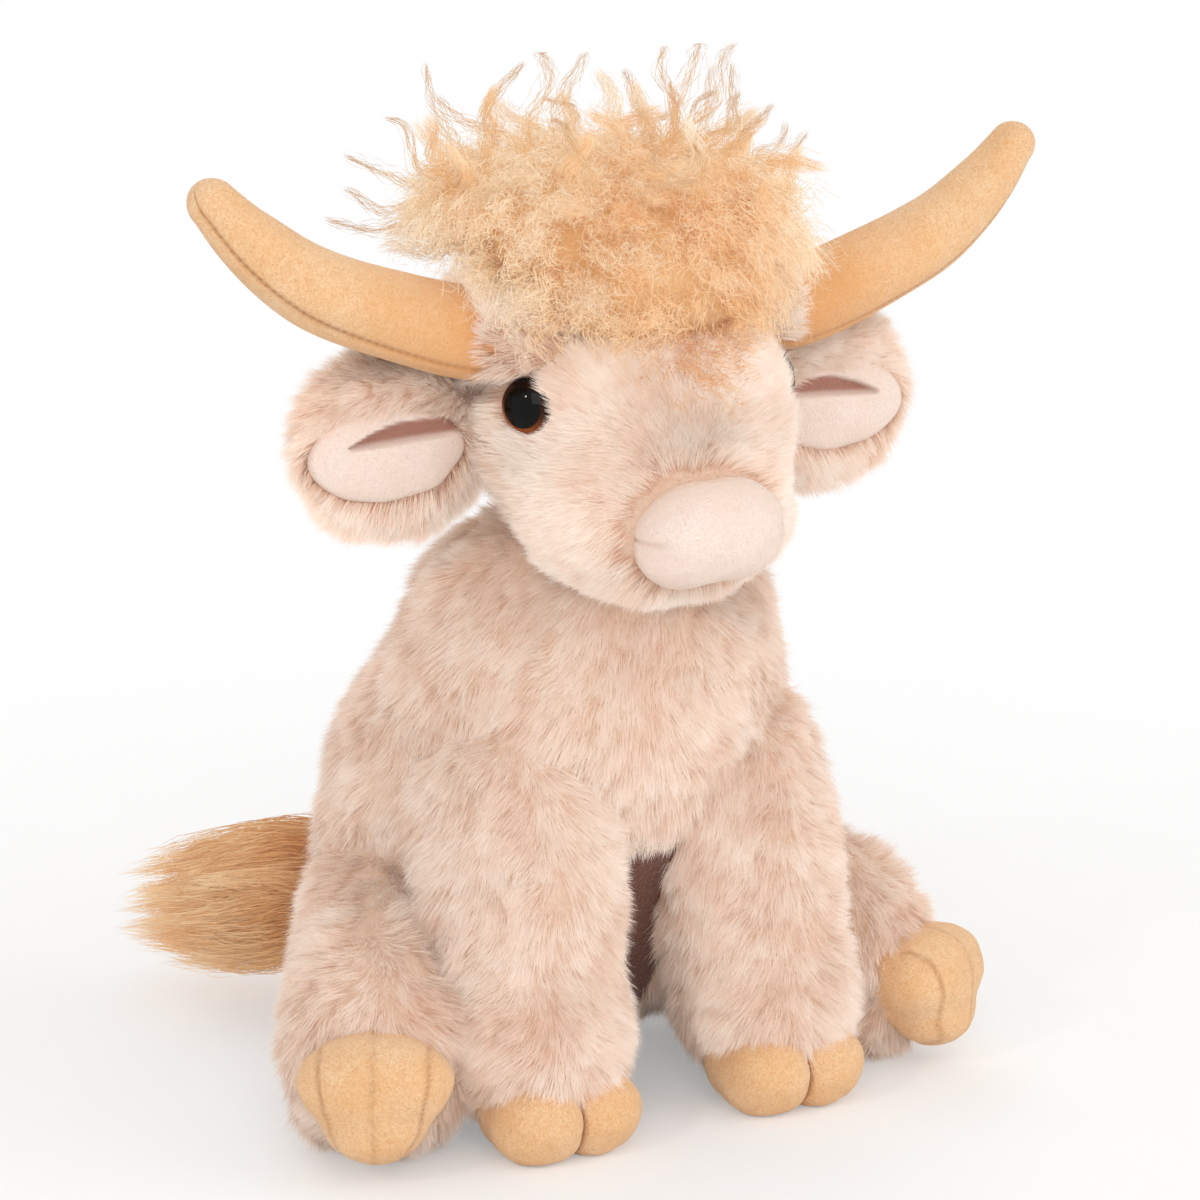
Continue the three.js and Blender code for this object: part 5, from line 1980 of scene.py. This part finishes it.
@dataclass(frozen=True)
class Lamp:
    """A square soft light that shines at the toy's middle."""

    name: str
    place: Triple
    size: float
    power: float
    aim: Triple = mm(0, 0, 130)

    def build(self) -> None:
        """Makes the lamp and turns it to its aim."""
        data = bpy.data.lights.new(self.name, "AREA")
        data.size = self.size
        data.energy = self.power
        lamp = bpy.data.objects.new(self.name, data)
        lamp.location = self.place
        way = np.array(self.aim) - np.array(self.place)
        flat = math.hypot(way[0], way[1])
        lamp.rotation_euler = (math.atan2(flat, -way[2]), 0, math.atan2(-way[0], way[1]))
        bpy.context.scene.collection.objects.link(lamp)


@dataclass
class Stage:
    """The pale floor, the soft studio light and the camera at the photograph's angle."""

    azimuth: float = -30.5
    elevation: float = 13.5
    distance: float = 1.056
    look_at: Triple = mm(0.1, -2.16, -9.94)
    lens: float = 116.04
    floor_half: float = 6.0
    sky: float = 0.68
    lamps: tuple[Lamp, ...] = (Lamp("key", (-0.7, -1.4, 1.0), 1.2, 8.6),
                               Lamp("fill", (1.2, -1.1, 0.7), 1.4, 8.3),
                               Lamp("sparkle", (-1.2, -0.5, 0.85), 0.1, 2.2),
                               Lamp("rim", (0.4, 1.3, 1.2), 1.0, 5.0))

    def camera(self) -> None:
        """Places the camera; its target is given from the neck's joint."""
        azimuth, elevation = math.radians(self.azimuth), math.radians(self.elevation)
        back = np.array([math.sin(azimuth) * math.cos(elevation), -math.cos(azimuth) * math.cos(elevation),
                         math.sin(elevation)])
        data = bpy.data.cameras.new("camera")
        data.lens = self.lens
        data.clip_start, data.clip_end = 0.05, 50.0
        seen = bpy.data.objects.new("camera", data)
        seen.location = joint_place("neck_nod") + self.look_at + back * self.distance
        seen.rotation_euler = (math.pi / 2 - elevation, 0, azimuth)
        bpy.context.scene.collection.objects.link(seen)
        bpy.context.scene.camera = seen

    def world(self) -> None:
        """White where the camera or a reflection looks past the toy, and a plain level of light elsewhere."""
        world = bpy.data.worlds.new("studio")
        recipe = Recipe(world)
        path = recipe.node("ShaderNodeLightPath")
        seen = recipe.node("ShaderNodeMath", {"operation": "ADD", "use_clamp": True},
                           {0: path, 1: path.beside("Is Glossy Ray")})
        plain, white = (recipe.node("ShaderNodeBackground", inputs={"Color": WHITE, "Strength": strength})
                        for strength in (self.sky, 1.0))
        mixed = recipe.node("ShaderNodeMixShader", inputs={0: seen, 1: plain, 2: white})
        recipe.ended(mixed, "ShaderNodeOutputWorld")
        bpy.context.scene.world = world

    def floor(self) -> None:
        """A wide pale floor that keeps the toy's shadow."""
        corners = self.floor_half * np.array([[-1, -1, 0], [1, -1, 0], [1, 1, 0], [-1, 1, 0]])
        made = Bench.piece("floor", corners, np.array([[0, 1, 2, 3]]))
        recipe = Recipe(bpy.data.materials.new("floor_paper"))
        grain = recipe.noise(40 * MM)
        colour = recipe.mixed(grain, tone(247, 246, 245), tone(251, 250, 249))
        paper = recipe.node("ShaderNodeBsdfPrincipled", inputs={"Base Color": colour, "Roughness": 0.9})
        place = recipe.object_place()
        away = recipe.node("ShaderNodeVectorMath", {"operation": "LENGTH"}, {0: place}, "Value")
        path = recipe.node("ShaderNodeLightPath")
        seen = path + path.beside("Is Glossy Ray")
        white = recipe.node("ShaderNodeEmission")
        share = seen.clamped(0, 1) * (0.3 + 0.7 * away.clamped(0.16, 0.5))
        recipe.ended(recipe.node("ShaderNodeMixShader", inputs={0: share, 1: paper, 2: white}))
        made.data.materials.append(recipe.owner)

    def build(self) -> None:
        """Sets the whole stage."""
        self.camera()
        for lamp in self.lamps:
            lamp.build()
        self.world()
        self.floor()
        bpy.context.scene.view_settings.view_transform = "Standard"


def main() -> None:
    """Builds the toy's sub-assemblies in order, then the stage."""
    logging.basicConfig(level=logging.INFO, format="%(message)s")
    Stage().build()
    finishes = Finishes()
    torso = Torso()
    legs = [kind(side, torso) for side in Side for kind in (ForeLeg, HindLeg)]
    head = Head()
    nose = NosePad(head)
    eyes = [Eye(side, head) for side in Side]
    ears = [Ear(side, head) for side in Side]
    horns = [Horn(side, head) for side in Side]
    forelock = Forelock(head)
    tail = Tail()
    covered = [(leg.form, torso.under_legs) for leg in legs] + [(head.form, torso.under_head)]
    torso.build(finishes, covered)
    for leg in legs:
        leg.build(finishes)
    clearing = HeadClearing(torso, nose, eyes, ears, horns, forelock)
    head.build(finishes, clearing.keep, clearing.clear)
    for part in (nose, *eyes, *ears, *horns, forelock):
        part.build(finishes)
    tail.build(finishes, torso)
    dress_inner_nodes(finishes)


if __name__ == "__main__":
    main()
